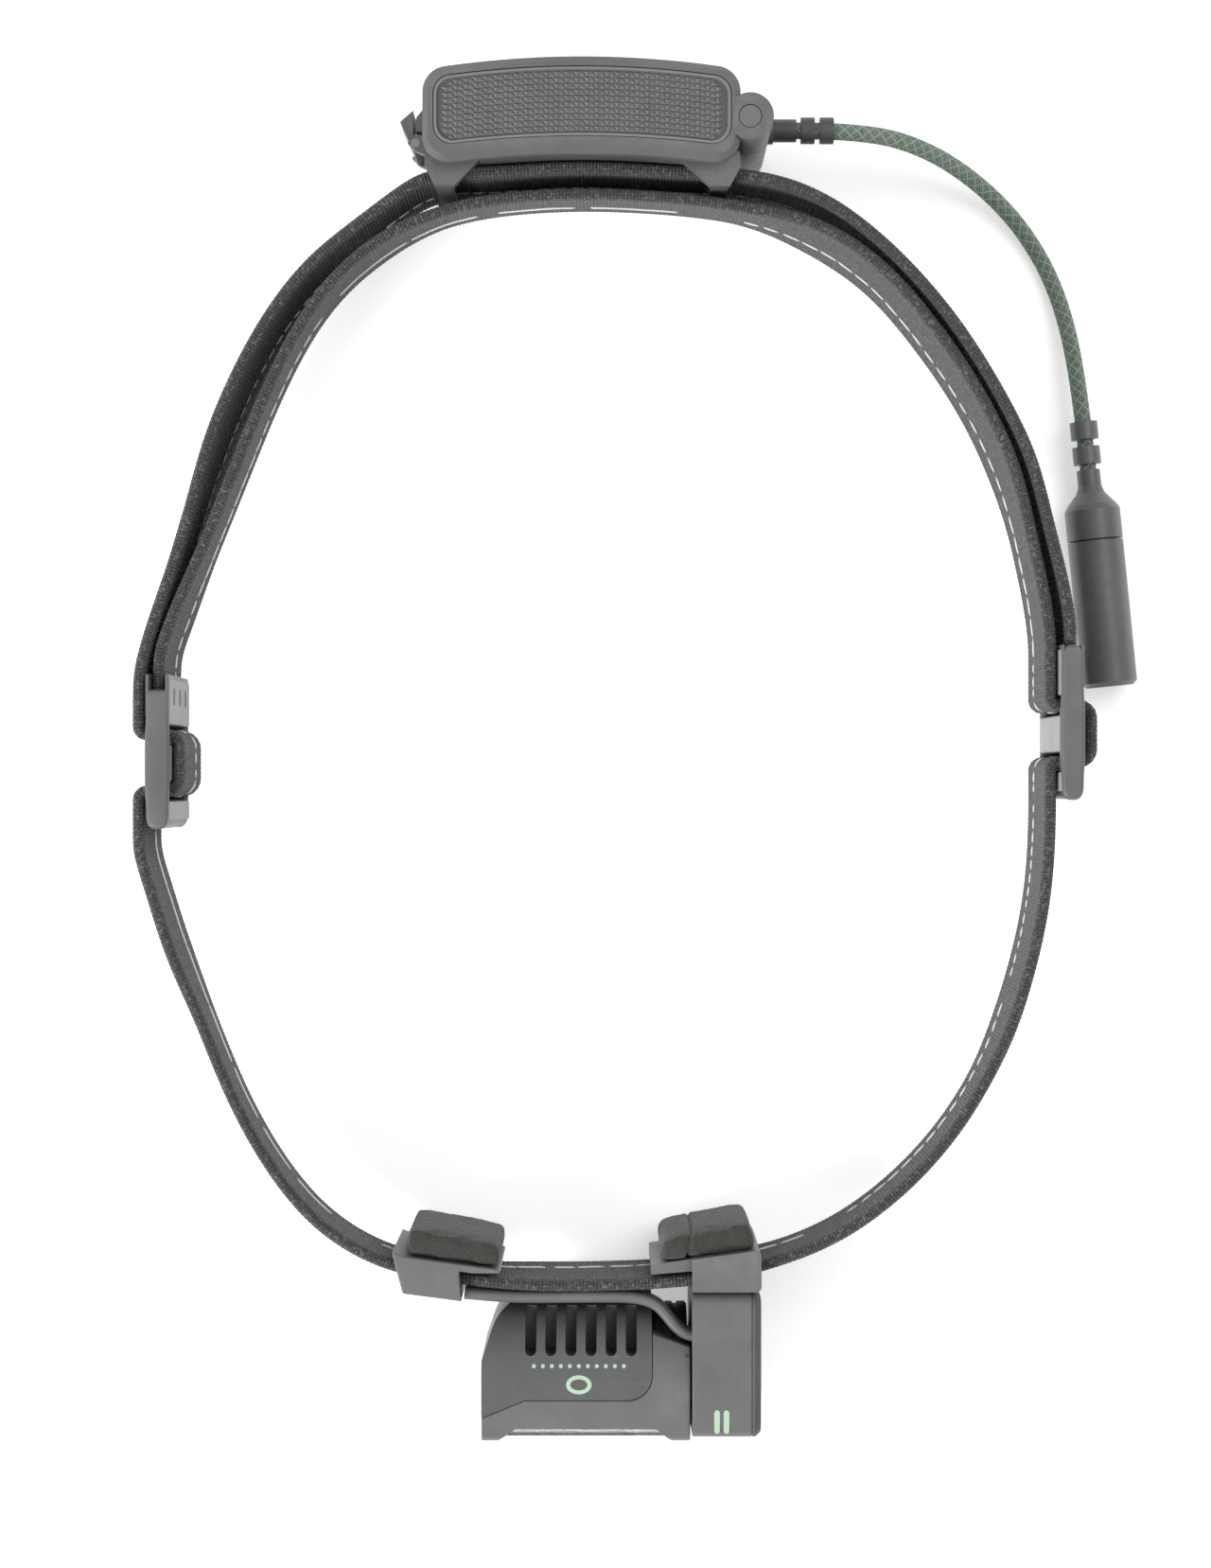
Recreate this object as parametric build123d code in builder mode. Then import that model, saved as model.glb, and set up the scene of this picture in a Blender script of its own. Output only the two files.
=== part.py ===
"""Headlamp: lamp on a band clamp, woven headband with two sliders, battery pack at the back.

Millimetres. The headlamp stands on the lower edges of its lamp and its battery pack, with the
headband on edge. Z is up, +X is the wearer's left, +Y the back of the head, -Y the light beam.
The origin lies on the standing surface, under the middle of the headlamp without its cord.
"""
from build123d import *
from math import radians, sqrt, tan
import os

os.makedirs("parts", exist_ok=True)

# ---- driving dimensions -------------------------------------------------------------------
CLEAR = 0.3            # between pieces that move past each other

BAND_WIDTH = 25.0      # webbing, standing on edge
BAND_THICK = 2.2
BAND_FOOT = 7.5        # lower edge of the webbing above the surface
BAND_SLOT = 0.6        # extra width and height of a slot that the webbing runs through

SLIDER_X = 82.4        # both sliders stand this far out
SLIDER_THICK = 4.6
SLIDER_FOOT = 5.5
SLIDER_HEIGHT = 29.0
SLIDER_BAR = 3.5       # half length of the middle bar
SLIDER_GAP = 3.2       # each of the two slots beside it
SLIDER_LONG = 9.3      # end that holds the sewn end of the webbing
SLIDER_SHORT = 5.3
WEAVE_OUT = SLIDER_X + SLIDER_THICK / 2 + CLEAR + BAND_THICK / 2
WEAVE_IN = SLIDER_X - SLIDER_THICK / 2 - CLEAR - BAND_THICK / 2
SPLIT = 0.2            # between two lengths of the one webbing, where they meet at a slider
WEAVE_BEND = 1.5       # bend of the webbing's middle line at a slot
RIGHT_BAR_Y = 3.5      # middle bar of the slider on the wearer's left
LEFT_BAR_Y = -1.8      # middle bar of the slider on the wearer's right
SEWN_DEPTH = 8.2       # the sewn end stops this far from the bar's middle
SEWN_END = 16.2        # and runs straight up to here, where it leaves the slider
RIGHT_REACH = 13.0     # the webbing is straight this far to either side of the bar
LEFT_REACH = 12.0
POCKET_WIDTH = BAND_THICK + 0.3

LAMP_HEIGHT = 36.0     # side column
TILT_Y = -113.5        # tilt axis of the lamp head, along X
TILT_Z = 18.0
HEAD_LEFT = -24.1
HEAD_RIGHT = 13.6
HEAD_HALF = 16.0       # half height of the head
HEAD_BACK = 14.5       # tilt axis to the back of the head
LAMP_FRONT = -124.2
LIP_FRONT = -121.7     # upper and lower lips of the bezel, behind the lens
SEAM_Y = -116.6        # seam between heat sink and bezel
NOTCH_X = 6.8          # the bezel's side block starts here
NOTCH_Y = -105.0
BAY_LEFT = -20.9       # lamp bay, behind the lens
BAY_RIGHT = 10.3
BAY_BACK = -109.6
BAY_HALF = 12.5
FIN_SLOTS = 6
FIN_PITCH = 3.63
FIN_WIDTH = 2.0
FIN_FIRST = -15.2
FIN_END = -107.7
FIN_FLOOR = 7.5        # bottom of the slots above the tilt axis
FIN_DEPTH = 10.0
REFLECTOR_X = (-13.9, 2.9)
REFLECTOR_R = 5.4
OPTIC_X = -5.5

COLUMN_LEFT = HEAD_RIGHT + CLEAR
COLUMN_RIGHT = 24.6
COVER_RIGHT = 26.3     # outer face of the rubber side cover
COLUMN_BACK = -96.9
COLUMN_FRONT = -123.2
COLUMN_WALL = 1.5
AXLE_R = 3.0
AXLE_FIT = 0.06
BUTTON_Y = -110.0
BUTTON_R = 5.5
BUTTON_TRAVEL = 0.6
CLAMP_RIGHT = 26.3
PAD_FOOT = 5.0
PAD_TOP = 34.0
PAD_CORNER = 0.8

PACK_X = -6.0          # middle of the battery pack
PACK_LEFT = -34.4
PACK_RIGHT = 22.4
PACK_HEIGHT = 40.0
PACK_REAR = 124.2      # highest point of the rear arc
PACK_REAR_R = 175.0
PACK_FRONT = 106.9
PACK_FRONT_R = 190.0
SHELL_WALL = 1.4
SHELL_ROOF = 2.4
GRIP_DEPTH = 1.0
GRIP_GAP = 0.1
BASE_FRONT = 108.5     # plate that carries the cells
BASE_THICK = 1.7
PLATE_THICK = 1.2      # cradle plate, between that plate and the webbing
HINGE_X = 24.1
HINGE_Y = 113.4
KNUCKLE_R = 4.2
KNUCKLE_FOOT = 12.0    # the base's knuckle, between the two on the cover
KNUCKLE_HEAD = 26.0
PIN_R = 1.2
PIN_HEAD_R = 2.0
CELL_R = 5.2
CELL_LENGTH = 44.5
CELL_PITCH = 11.0
CELL_Y = 115.9
LATCH_X = -36.3
LATCH_Y = 110.9
LATCH_PIN_R = 0.8

CORD_R = 1.55
CORD_EXIT_Z = 18.0
CORD_LINE_Y = 115.1
SOCKET_END = 29.2      # flat face of the cord socket on the knuckle
SOCKET_R = 2.5
BOOT_END = 33.5        # the cord leaves its boot here
RING_R = 2.45
BARREL_R = 5.2
CONNECTOR_Z = 5.25     # the connector lies on the surface


def node(builder, name):
    """Label one finished piece and write it as its own STEP file."""
    builder.part.label = name
    export_step(builder.part, f"parts/{name}.step")


# ---- headband -----------------------------------------------------------------------------
# One webbing in reality: sewn into the slider on the wearer's right, round the back of the
# head, woven through the other slider, over the forehead, woven through the first slider,
# through the battery cradle, and sewn into the second slider. It is split at the sliders.


def weave(side, bar_y, over, under):
    """Corners of the webbing's way over the middle bar, from the long end to the short end."""
    upper = bar_y + SLIDER_BAR + SLIDER_GAP / 2
    lower = bar_y - SLIDER_BAR - SLIDER_GAP / 2
    return [(side * under, upper), (side * over, upper), (side * over, lower), (side * under, lower)]


def right_weave_points():
    """Front strand up to the sewn end's side of the slider on the wearer's left."""
    corners = weave(1, RIGHT_BAR_Y, WEAVE_OUT, WEAVE_IN)
    start = (WEAVE_IN, RIGHT_BAR_Y + RIGHT_REACH)
    end = (WEAVE_IN, RIGHT_BAR_Y - RIGHT_REACH)
    return [start] + corners + [end]


def left_weave_points():
    """The same on the wearer's right, where the webbing runs outside the slider."""
    corners = weave(-1, LEFT_BAR_Y, WEAVE_IN, WEAVE_OUT)
    start = (-WEAVE_OUT, LEFT_BAR_Y + LEFT_REACH)
    end = (-WEAVE_OUT, LEFT_BAR_Y - LEFT_REACH)
    return [start] + corners + [end]


FRONT_POINTS = [
    (-WEAVE_OUT, LEFT_BAR_Y - LEFT_REACH - SPLIT),
    (-86.0, -17.2), (-84.7, -22.5), (-80.7, -35.0), (-75.4, -48.5),
    (-69.8, -62.0), (-62.6, -75.0), (-54.0, -85.2), (-43.0, -92.0), (-33.5, -94.6),
    (-20.0, -96.0), (0.0, -96.1), (14.0, -95.2), (29.0, -92.2), (39.0, -88.3),
    (49.2, -81.6), (61.9, -68.2), (69.6, -54.8), (74.4, -41.3), (77.4, -28.0),
    (78.6, -14.5), (WEAVE_IN, RIGHT_BAR_Y - RIGHT_REACH),
]
INNER_POINTS = [
    (-SLIDER_X, LEFT_BAR_Y + SEWN_END), (-82.2, 17.6), (-80.8, 22.5), (-77.3, 31.5),
    (-72.4, 43.6), (-67.1, 56.8), (-60.9, 71.0), (-52.2, 84.8), (-43.6, 92.6), (-30.0, 99.2),
    (-18.0, 101.3), (-5.5, 101.9), (8.0, 101.4), (21.0, 99.9), (36.0, 95.4), (49.6, 86.0),
    (56.3, 78.3), (66.0, 64.0), (72.4, 49.8), (76.3, 35.0), (78.1, 25.5), (78.65, 20.0),
    (WEAVE_IN, RIGHT_BAR_Y + RIGHT_REACH + SPLIT),
]
OUTER_LEFT_POINTS = [
    (-WEAVE_OUT, LEFT_BAR_Y + LEFT_REACH), (-86.0, 13.2), (-84.6, 20.0), (-80.0, 33.8), (-76.1, 46.8),
    (-71.5, 60.2), (-65.1, 73.8), (-55.6, 87.2), (-46.9, 95.1), (-39.6, 100.8),
    (-34.4, 103.8),
]
OUTER_RIGHT_POINTS = [
    (25.0, 104.2), (33.5, 102.0), (44.4, 95.6), (53.2, 87.0), (59.2, 80.0), (68.0, 66.8),
    (75.0, 52.6), (79.0, 39.2), (81.4, 29.0), (82.3, 22.9),
    (SLIDER_X, RIGHT_BAR_Y + SEWN_END),
]
CRADLE_POINTS = [(-24.0, 105.0), (PACK_X, 105.8), (12.0, 105.0)]

with BuildLine() as front_line:
    Spline(*FRONT_POINTS)
    FilletPolyline(*right_weave_points(), radius=WEAVE_BEND)

with BuildLine() as inner_line:
    Line((-SLIDER_X, LEFT_BAR_Y + SEWN_DEPTH), INNER_POINTS[0])
    Spline(*INNER_POINTS)

with BuildLine() as outer_line:
    FilletPolyline(*left_weave_points(), radius=WEAVE_BEND)
    Spline(*OUTER_LEFT_POINTS, *CRADLE_POINTS, *OUTER_RIGHT_POINTS)
    Line(OUTER_RIGHT_POINTS[-1], (SLIDER_X, RIGHT_BAR_Y + SEWN_DEPTH))


def side_curve(edge, shift):
    """Draw an edge of a webbing's middle line, moved sideways by a distance."""
    steps = {GeomType.LINE: 1, GeomType.CIRCLE: 2}.get(edge.geom_type, 60)
    points = []
    for step in range(steps + 1):
        tangent = edge % (step / steps)
        points.append(edge @ (step / steps) + Vector(-tangent.Y, tangent.X) * shift)
    if steps == 1:
        return Line(*points)
    if steps == 2:
        return ThreePointArc(*points)
    return Spline(*points)


def ribbon(line, width, height):
    """Plan outline of a webbing along a plan line, at a height above the surface."""
    with BuildSketch(Plane.XY.offset(height)) as outline:
        for edge in line.edges():
            with BuildLine():
                left = side_curve(edge, width / 2)
                right = side_curve(edge, -width / 2)
                Line(left @ 0, right @ 0)
                Line(left @ 1, right @ 1)
            make_face()
    return outline.sketch


def strand(line):
    """Stand a webbing on edge along a plan line, inside the caller's part."""
    extrude(ribbon(line, BAND_THICK, BAND_FOOT), amount=BAND_WIDTH)


def cut_strand_slot(line, foot=BAND_FOOT - BAND_SLOT / 2, height=BAND_WIDTH + BAND_SLOT):
    """Open the caller's part for a webbing that runs along a plan line."""
    extrude(ribbon(line, BAND_THICK + BAND_SLOT, foot), amount=height, mode=Mode.SUBTRACT)


with BuildPart() as front_strand:
    strand(front_line)
node(front_strand, "front_webbing")

with BuildPart() as inner_strand:
    strand(inner_line)
node(inner_strand, "rear_webbing_inner")

with BuildPart() as outer_strand:
    strand(outer_line)
node(outer_strand, "rear_webbing_outer")


# ---- sliders ------------------------------------------------------------------------------


def slider(side, bar_y):
    """Three-bar slider: two slots for the woven webbing and a pocket for its sewn end."""
    length = 2 * (SLIDER_BAR + SLIDER_GAP) + SLIDER_LONG + SLIDER_SHORT
    middle = bar_y + (SLIDER_LONG - SLIDER_SHORT) / 2
    rail = BAND_FOOT - BAND_SLOT / 2
    window = BAND_WIDTH + BAND_SLOT
    gap_y = SLIDER_BAR + SLIDER_GAP / 2
    pocket_start = bar_y + SEWN_DEPTH - CLEAR
    pocket_end = bar_y + SLIDER_BAR + SLIDER_GAP + SLIDER_LONG
    inner_face = side * (SLIDER_X - SLIDER_THICK / 2)
    with BuildPart() as frame:
        with BuildSketch(Plane.YZ.offset(side * SLIDER_X)):
            with Locations((middle, SLIDER_FOOT + SLIDER_HEIGHT / 2)):
                RectangleRounded(length, SLIDER_HEIGHT, 3.0)
        extrude(amount=SLIDER_THICK / 2, both=True)
        chamfer(frame.faces().filter_by(Axis.X).edges(), 0.6)
        with Locations(*[(side * SLIDER_X, bar_y + way * gap_y, rail) for way in (-1, 1)]):
            Box(
                SLIDER_THICK + 1, SLIDER_GAP, window,
                align=(Align.CENTER, Align.CENTER, Align.MIN), mode=Mode.SUBTRACT,
            )
        with Locations((side * SLIDER_X, pocket_start, rail)):
            Box(
                POCKET_WIDTH, pocket_end - pocket_start + 1, window,
                align=(Align.CENTER, Align.MIN, Align.MIN), mode=Mode.SUBTRACT,
            )
        with Locations((side * SLIDER_X, pocket_end - 2.8, rail)):
            Box(
                POCKET_WIDTH, 4, SLIDER_HEIGHT,
                align=(Align.CENTER, Align.MIN, Align.MIN), mode=Mode.SUBTRACT,
            )
        with Locations(*[(inner_face, bar_y + 12.2, 12 + 8 * row) for row in range(3)]):
            Box(2.4, 2.4, 1.2, mode=Mode.SUBTRACT)
    return frame


left_slider = slider(-1, LEFT_BAR_Y)
node(left_slider, "slider_right_side")

right_slider = slider(1, RIGHT_BAR_Y)
node(right_slider, "slider_left_side")


# ---- forehead clips and pads --------------------------------------------------------------
CLIP_FOOT = 4.0
CLIP_HEIGHT = 31.0

with BuildPart() as left_clip:
    with BuildSketch(Plane.XY.offset(CLIP_FOOT)):
        with BuildLine():
            Polyline(
                (-40.2, -89.6), (-37.8, -90.5), (-20.6, -92.9), (-20.6, -94.3), (-28.0, -93.2),
                (-27.6, -98.6), (-38.2, -97.2), close=True,
            )
        make_face()
    extrude(amount=CLIP_HEIGHT)
    with BuildSketch(Plane.XY.offset(CLIP_FOOT)):
        with Locations((-24.0, -96.0)):
            Rectangle(7.0, 4.9)
    extrude(amount=CLIP_HEIGHT, mode=Mode.SUBTRACT)
    cut_strand_slot(front_line)
node(left_clip, "band_clip")

with BuildPart() as left_pad:
    with BuildSketch(Plane.XY.offset(PAD_FOOT)):
        with BuildLine():
            Polyline((-38.2, -90.2), (-36.9, -85.4), (-20.4, -88.6), (-20.9, -92.6), close=True)
        make_face()
    extrude(amount=PAD_TOP - PAD_FOOT)
    fillet(left_pad.edges().filter_by(Axis.Z), PAD_CORNER)
node(left_pad, "forehead_pad_right")

CLAMP_FOOT = 2.0

with BuildPart() as clamp:
    with BuildSketch(Plane.XY.offset(CLAMP_FOOT)):
        with BuildLine():
            Polyline(
                (COLUMN_LEFT, -90.9), (CLAMP_RIGHT, -89.2), (CLAMP_RIGHT, -96.8),
                (COLUMN_LEFT, -96.8), close=True,
            )
        make_face()
    extrude(amount=LAMP_HEIGHT - CLAMP_FOOT)
    fillet(clamp.edges().filter_by(Axis.Z).sort_by(Axis.X)[-2:], 1.0)
    with BuildSketch(Plane.XY.offset(PAD_FOOT)):
        with BuildLine():
            Polyline((6.5, -93.9), (6.5, -92.1), (15.0, -90.9), (15.0, -93.2), close=True)
        make_face()
    extrude(amount=PAD_TOP - PAD_FOOT)
    cut_strand_slot(front_line)
node(clamp, "band_clamp")

with BuildPart() as right_pad:
    with BuildSketch(Plane.XY.offset(PAD_FOOT)):
        with BuildLine():
            Polyline((8.2, -91.7), (8.0, -87.6), (24.0, -84.4), (25.6, -89.15), close=True)
        make_face()
    extrude(amount=PAD_TOP - PAD_FOOT)
    fillet(right_pad.edges().filter_by(Axis.Z), PAD_CORNER)
node(right_pad, "forehead_pad_left")


# ---- lamp column, fixed to the band clamp -------------------------------------------------
COLUMN_MID_Y = (COLUMN_BACK + COLUMN_FRONT) / 2
COLUMN_DEPTH = COLUMN_BACK - COLUMN_FRONT
LEAD_THICK = 1.6
LEAD_FOOT = 26.4
LEAD_HEIGHT = 6.0
LEAD_END_Y = -105.2
COLUMN_CORNER = 3.0
BOARD_X = 18.4         # near face of the driver board

with BuildPart() as column:
    with BuildSketch(Plane.YZ.offset(COLUMN_LEFT)):
        with Locations((COLUMN_MID_Y, LAMP_HEIGHT / 2)):
            RectangleRounded(COLUMN_DEPTH, LAMP_HEIGHT, COLUMN_CORNER)
    extrude(amount=COLUMN_RIGHT - COLUMN_LEFT)
    with BuildSketch(Plane.YZ.offset(COLUMN_LEFT + COLUMN_WALL)):
        with Locations((COLUMN_MID_Y, LAMP_HEIGHT / 2)):
            RectangleRounded(COLUMN_DEPTH - 2 * COLUMN_WALL, LAMP_HEIGHT - 2 * COLUMN_WALL, 2.0)
    extrude(amount=COLUMN_RIGHT - COLUMN_LEFT, mode=Mode.SUBTRACT)
    with BuildSketch(Plane.YZ.offset(COLUMN_LEFT)):
        with Locations((TILT_Y, TILT_Z)):
            Circle(AXLE_R + AXLE_FIT)
    extrude(amount=COLUMN_WALL, mode=Mode.SUBTRACT)
    with Locations((COLUMN_LEFT + COLUMN_WALL / 2, LEAD_END_Y, LEAD_FOOT + LEAD_HEIGHT / 2)):
        Box(COLUMN_WALL, LEAD_THICK + 1.0, LEAD_HEIGHT + 0.2, mode=Mode.SUBTRACT)
node(column, "column_housing")

with BuildPart() as cover:
    with BuildSketch(Plane.YZ.offset(COLUMN_RIGHT)):
        with Locations((COLUMN_MID_Y, LAMP_HEIGHT / 2)):
            RectangleRounded(COLUMN_DEPTH, LAMP_HEIGHT, COLUMN_CORNER)
        with Locations((BUTTON_Y, TILT_Z)):
            Circle(BUTTON_R + CLEAR, mode=Mode.SUBTRACT)
    extrude(amount=COVER_RIGHT - COLUMN_RIGHT)
    chamfer(cover.faces().sort_by(Axis.X)[-1].outer_wire().edges(), 1.0)
node(cover, "side_cover")

with BuildPart() as button:
    with BuildSketch(Plane.YZ.offset(COLUMN_RIGHT + 0.1 + BUTTON_TRAVEL)):
        with Locations((BUTTON_Y, TILT_Z)):
            Circle(BUTTON_R)
    extrude(amount=1.5)
    fillet(button.faces().sort_by(Axis.X)[-1].edges(), 0.5)
    with BuildSketch(Plane.YZ.offset(22.7)):
        with Locations((BUTTON_Y, TILT_Z)):
            Circle(1.6)
    extrude(amount=3.0)
node(button, "power_button")

with BuildPart() as driver:
    with BuildSketch(Plane.YZ.offset(BOARD_X)):
        with Locations((COLUMN_MID_Y, TILT_Z)):
            Rectangle(21.0, 30.0)
        with Locations((TILT_Y, TILT_Z)):
            Circle(5.4, mode=Mode.SUBTRACT)
    extrude(amount=1.2)
    with Locations((20.4, -101.5, 26.0), (20.1, -103.0, 9.0)):
        Box(1.6, 4.4, 5.2)
node(driver, "driver_board")

with BuildPart() as switch:
    with Locations((20.2, BUTTON_Y + 2.6, TILT_Z)):
        Box(1.2, 5.2, 5.8)
    with BuildSketch(Plane.YZ.offset(20.6)):
        with Locations((BUTTON_Y, TILT_Z)):
            Circle(1.7)
    extrude(amount=1.2)
node(switch, "tact_switch")

with BuildPart() as friction_ring:
    with BuildSketch(Plane.YZ.offset(COLUMN_LEFT + COLUMN_WALL)):
        with Locations((TILT_Y, TILT_Z)):
            Circle(4.5)
            Circle(AXLE_R + AXLE_FIT, mode=Mode.SUBTRACT)
    extrude(amount=0.6)
node(friction_ring, "tilt_friction_ring")

with BuildLine() as lead_line:
    Spline(
        (-27.0, -97.5), (-20.0, -98.1), (0.0, -98.2), (5.0, -98.4), (9.2, -100.0),
        (11.2, -103.0), (COLUMN_LEFT + 0.8, LEAD_END_Y), tangents=[(1, -0.12), (1, -0.2)],
    )

with BuildPart() as lead:
    extrude(ribbon(lead_line, LEAD_THICK, LEAD_FOOT), amount=LEAD_HEIGHT)
node(lead, "lamp_lead")


# ---- lamp head, tilts on the column -------------------------------------------------------


def head_side(back, front, half):
    """Side outline of the head: round at the back, flat above and below, soft front corners."""
    with BuildSketch(Plane.YZ.offset(HEAD_LEFT - 1)) as outline:
        with Locations((TILT_Y, TILT_Z)):
            Ellipse(back, half)
        with Locations(((TILT_Y + front) / 2, TILT_Z)):
            Rectangle(TILT_Y - front, 2 * half)
        corners = outline.vertices().group_by(Axis.X)[0]
        fillet(corners, 2.5)
    return outline.sketch


def keep_head_side(back=HEAD_BACK, front=LAMP_FRONT, half=HEAD_HALF):
    """Trim the caller's part to the side outline of the head."""
    extrude(head_side(back, front, half), amount=HEAD_RIGHT - HEAD_LEFT + 2, mode=Mode.INTERSECT)


def bezel_plan(gap=0.0):
    """Plan outline of the bezel: a front strip and the block beside the column."""
    with BuildSketch() as outline:
        with BuildLine():
            Polyline(
                (HEAD_LEFT, LAMP_FRONT), (HEAD_RIGHT, LAMP_FRONT), (HEAD_RIGHT, NOTCH_Y - 2.2),
                (NOTCH_X - gap, NOTCH_Y), (NOTCH_X - gap, SEAM_Y + gap), (-16.3, SEAM_Y + gap),
                (HEAD_LEFT, SEAM_Y - 3.2 + gap), close=True,
            )
        make_face()
        inner_corner = outline.vertices().sort_by_distance((NOTCH_X - gap, SEAM_Y + gap))[0]
        fillet(inner_corner, 4.5)
    return outline.sketch


HEAD_SCREWS = [(-22.6, -115.2, TILT_Z + side * 9.0) for side in (-1, 1)]
SCREW_R = 0.8
SCREW_LENGTH = 7.0

with BuildPart() as heat_sink:
    with BuildSketch() as plan:
        with BuildLine():
            Polyline(
                (HEAD_LEFT, LAMP_FRONT), (NOTCH_X + 2, LAMP_FRONT), (NOTCH_X + 2, NOTCH_Y - 3),
                (NOTCH_X - 0.1, NOTCH_Y - 3), (NOTCH_X - 0.1, -98.0), (-16.0, -98.0),
                (-21.6, -102.2), (HEAD_LEFT, -109.6), close=True,
            )
        make_face()
        fillet(plan.vertices().sort_by_distance((-21.6, -102.2))[0], 7.0)
    extrude(amount=LAMP_HEIGHT)
    keep_head_side()
    extrude(bezel_plan(0.1), amount=LAMP_HEIGHT, mode=Mode.SUBTRACT)
    bay_left = BAY_LEFT - 0.4
    with Locations((bay_left, BAY_BACK, TILT_Z)):
        Box(
            BAY_RIGHT - bay_left, 20, 2 * BAY_HALF,
            align=(Align.MIN, Align.MAX, Align.CENTER), mode=Mode.SUBTRACT,
        )
    for foot in (TILT_Z + FIN_FLOOR, TILT_Z - FIN_FLOOR - FIN_DEPTH):
        with BuildSketch(Plane.XY.offset(foot)):
            for slot in range(FIN_SLOTS):
                with Locations((FIN_FIRST + slot * FIN_PITCH, FIN_END)):
                    Rectangle(FIN_WIDTH, 12.0, align=(Align.CENTER, Align.MIN))
                    Circle(FIN_WIDTH / 2)
        extrude(amount=FIN_DEPTH, mode=Mode.SUBTRACT)
    with Locations(*HEAD_SCREWS):
        Cylinder(SCREW_R, SCREW_LENGTH, rotation=(90, 0, 0), mode=Mode.SUBTRACT)
node(heat_sink, "heat_sink")

with BuildPart() as bezel:
    extrude(bezel_plan(), amount=LAMP_HEIGHT)
    keep_head_side()
    with Locations(((BAY_LEFT + BAY_RIGHT) / 2, BAY_BACK, TILT_Z)):
        Box(
            BAY_RIGHT - BAY_LEFT, 20, 2 * BAY_HALF,
            align=(Align.CENTER, Align.MAX, Align.CENTER), mode=Mode.SUBTRACT,
        )
    with BuildSketch() as lip_cut:
        with BuildLine():
            Polyline(
                (BAY_LEFT - 1.6, LAMP_FRONT - 1), (BAY_LEFT + 3.0, LIP_FRONT),
                (BAY_RIGHT - 3.0, LIP_FRONT), (BAY_RIGHT + 1.2, LAMP_FRONT - 1), close=True,
            )
        make_face()
    extrude(lip_cut.sketch, amount=LAMP_HEIGHT, mode=Mode.SUBTRACT)
    with Locations(((BAY_LEFT + BAY_RIGHT) / 2, LIP_FRONT, TILT_Z)):
        Box(
            BAY_RIGHT - BAY_LEFT, 6, 2 * BAY_HALF,
            align=(Align.CENTER, Align.MAX, Align.CENTER), mode=Mode.SUBTRACT,
        )
    with BuildSketch(Plane.YZ.offset(BAY_RIGHT)):
        with Locations((TILT_Y, TILT_Z)):
            Circle(AXLE_R)
    extrude(amount=HEAD_RIGHT - BAY_RIGHT, mode=Mode.SUBTRACT)
    with Locations(*HEAD_SCREWS):
        Cylinder(SCREW_R, SCREW_LENGTH, rotation=(90, 0, 0), mode=Mode.SUBTRACT)
node(bezel, "front_bezel")

with BuildPart() as axle:
    with BuildSketch(Plane.YZ.offset(BAY_RIGHT)):
        with Locations((TILT_Y, TILT_Z)):
            Circle(AXLE_R)
            Circle(1.4, mode=Mode.SUBTRACT)
    extrude(amount=7.4)
node(axle, "tilt_axle")

with BuildPart() as axle_nut:
    with BuildSketch(Plane.YZ.offset(COLUMN_LEFT + COLUMN_WALL + 0.7)):
        with Locations((TILT_Y, TILT_Z)):
            RegularPolygon(4.4, 6)
            Circle(AXLE_R, mode=Mode.SUBTRACT)
    extrude(amount=1.4)
node(axle_nut, "axle_nut")

LENS_GAP = 0.3
LENS_REAR = -119.0
LENS_FACE = -123.7
LENS_HALF = BAY_HALF - LENS_GAP
LENS_LEFT = BAY_LEFT + LENS_GAP
LENS_RIGHT = BAY_RIGHT - LENS_GAP
LENS_MID = (LENS_LEFT + LENS_RIGHT) / 2
LENS_WALL = 1.2

with BuildPart() as lens:
    with Locations((LENS_MID, LENS_REAR, TILT_Z)):
        Box(
            LENS_RIGHT - LENS_LEFT, LENS_REAR - LENS_FACE, 2 * LENS_HALF,
            align=(Align.CENTER, Align.MAX, Align.CENTER),
        )
    fillet(lens.faces().sort_by(Axis.Y)[0].edges(), LENS_WALL)
    with Locations((LENS_MID, LENS_REAR, TILT_Z)):
        Box(
            LENS_RIGHT - LENS_LEFT - 2 * LENS_WALL, LENS_REAR - LENS_FACE - 1.4,
            2 * (LENS_HALF - LENS_WALL),
            align=(Align.CENTER, Align.MAX, Align.CENTER), mode=Mode.SUBTRACT,
        )
    with BuildSketch(Plane.XZ.offset(-LENS_FACE - 0.2)):
        with Locations((OPTIC_X, TILT_Z)):
            Circle(4.4)
    extrude(amount=0.7)
    fillet(lens.faces().sort_by(Axis.Y)[0].edges(), 0.3)
node(lens, "front_lens")

with BuildPart() as lens_seal:
    with BuildSketch(Plane.XZ.offset(-LENS_REAR)):
        with Locations((LENS_MID, TILT_Z)):
            Rectangle(LENS_RIGHT - LENS_LEFT, 2 * LENS_HALF)
            Rectangle(LENS_RIGHT - LENS_LEFT - 2.0, 2 * LENS_HALF - 2.0, mode=Mode.SUBTRACT)
    extrude(amount=-1.0)
node(lens_seal, "lens_seal")

BOARD_FACE = -111.4

with BuildPart() as led_board:
    with BuildSketch(Plane.XZ.offset(-BAY_BACK + 0.2)):
        with Locations((LENS_MID, TILT_Z)):
            Rectangle(LENS_RIGHT - LENS_LEFT - 0.6, 2 * BAY_HALF - 1.0)
    extrude(amount=BAY_BACK - 0.2 - BOARD_FACE)
node(led_board, "led_board")

with BuildPart() as leds:
    with Locations(*[(x, BOARD_FACE, TILT_Z) for x in (*REFLECTOR_X, OPTIC_X)]):
        Box(2.6, 0.7, 2.6, align=(Align.CENTER, Align.MAX, Align.CENTER))
node(leds, "led_chips")


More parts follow.
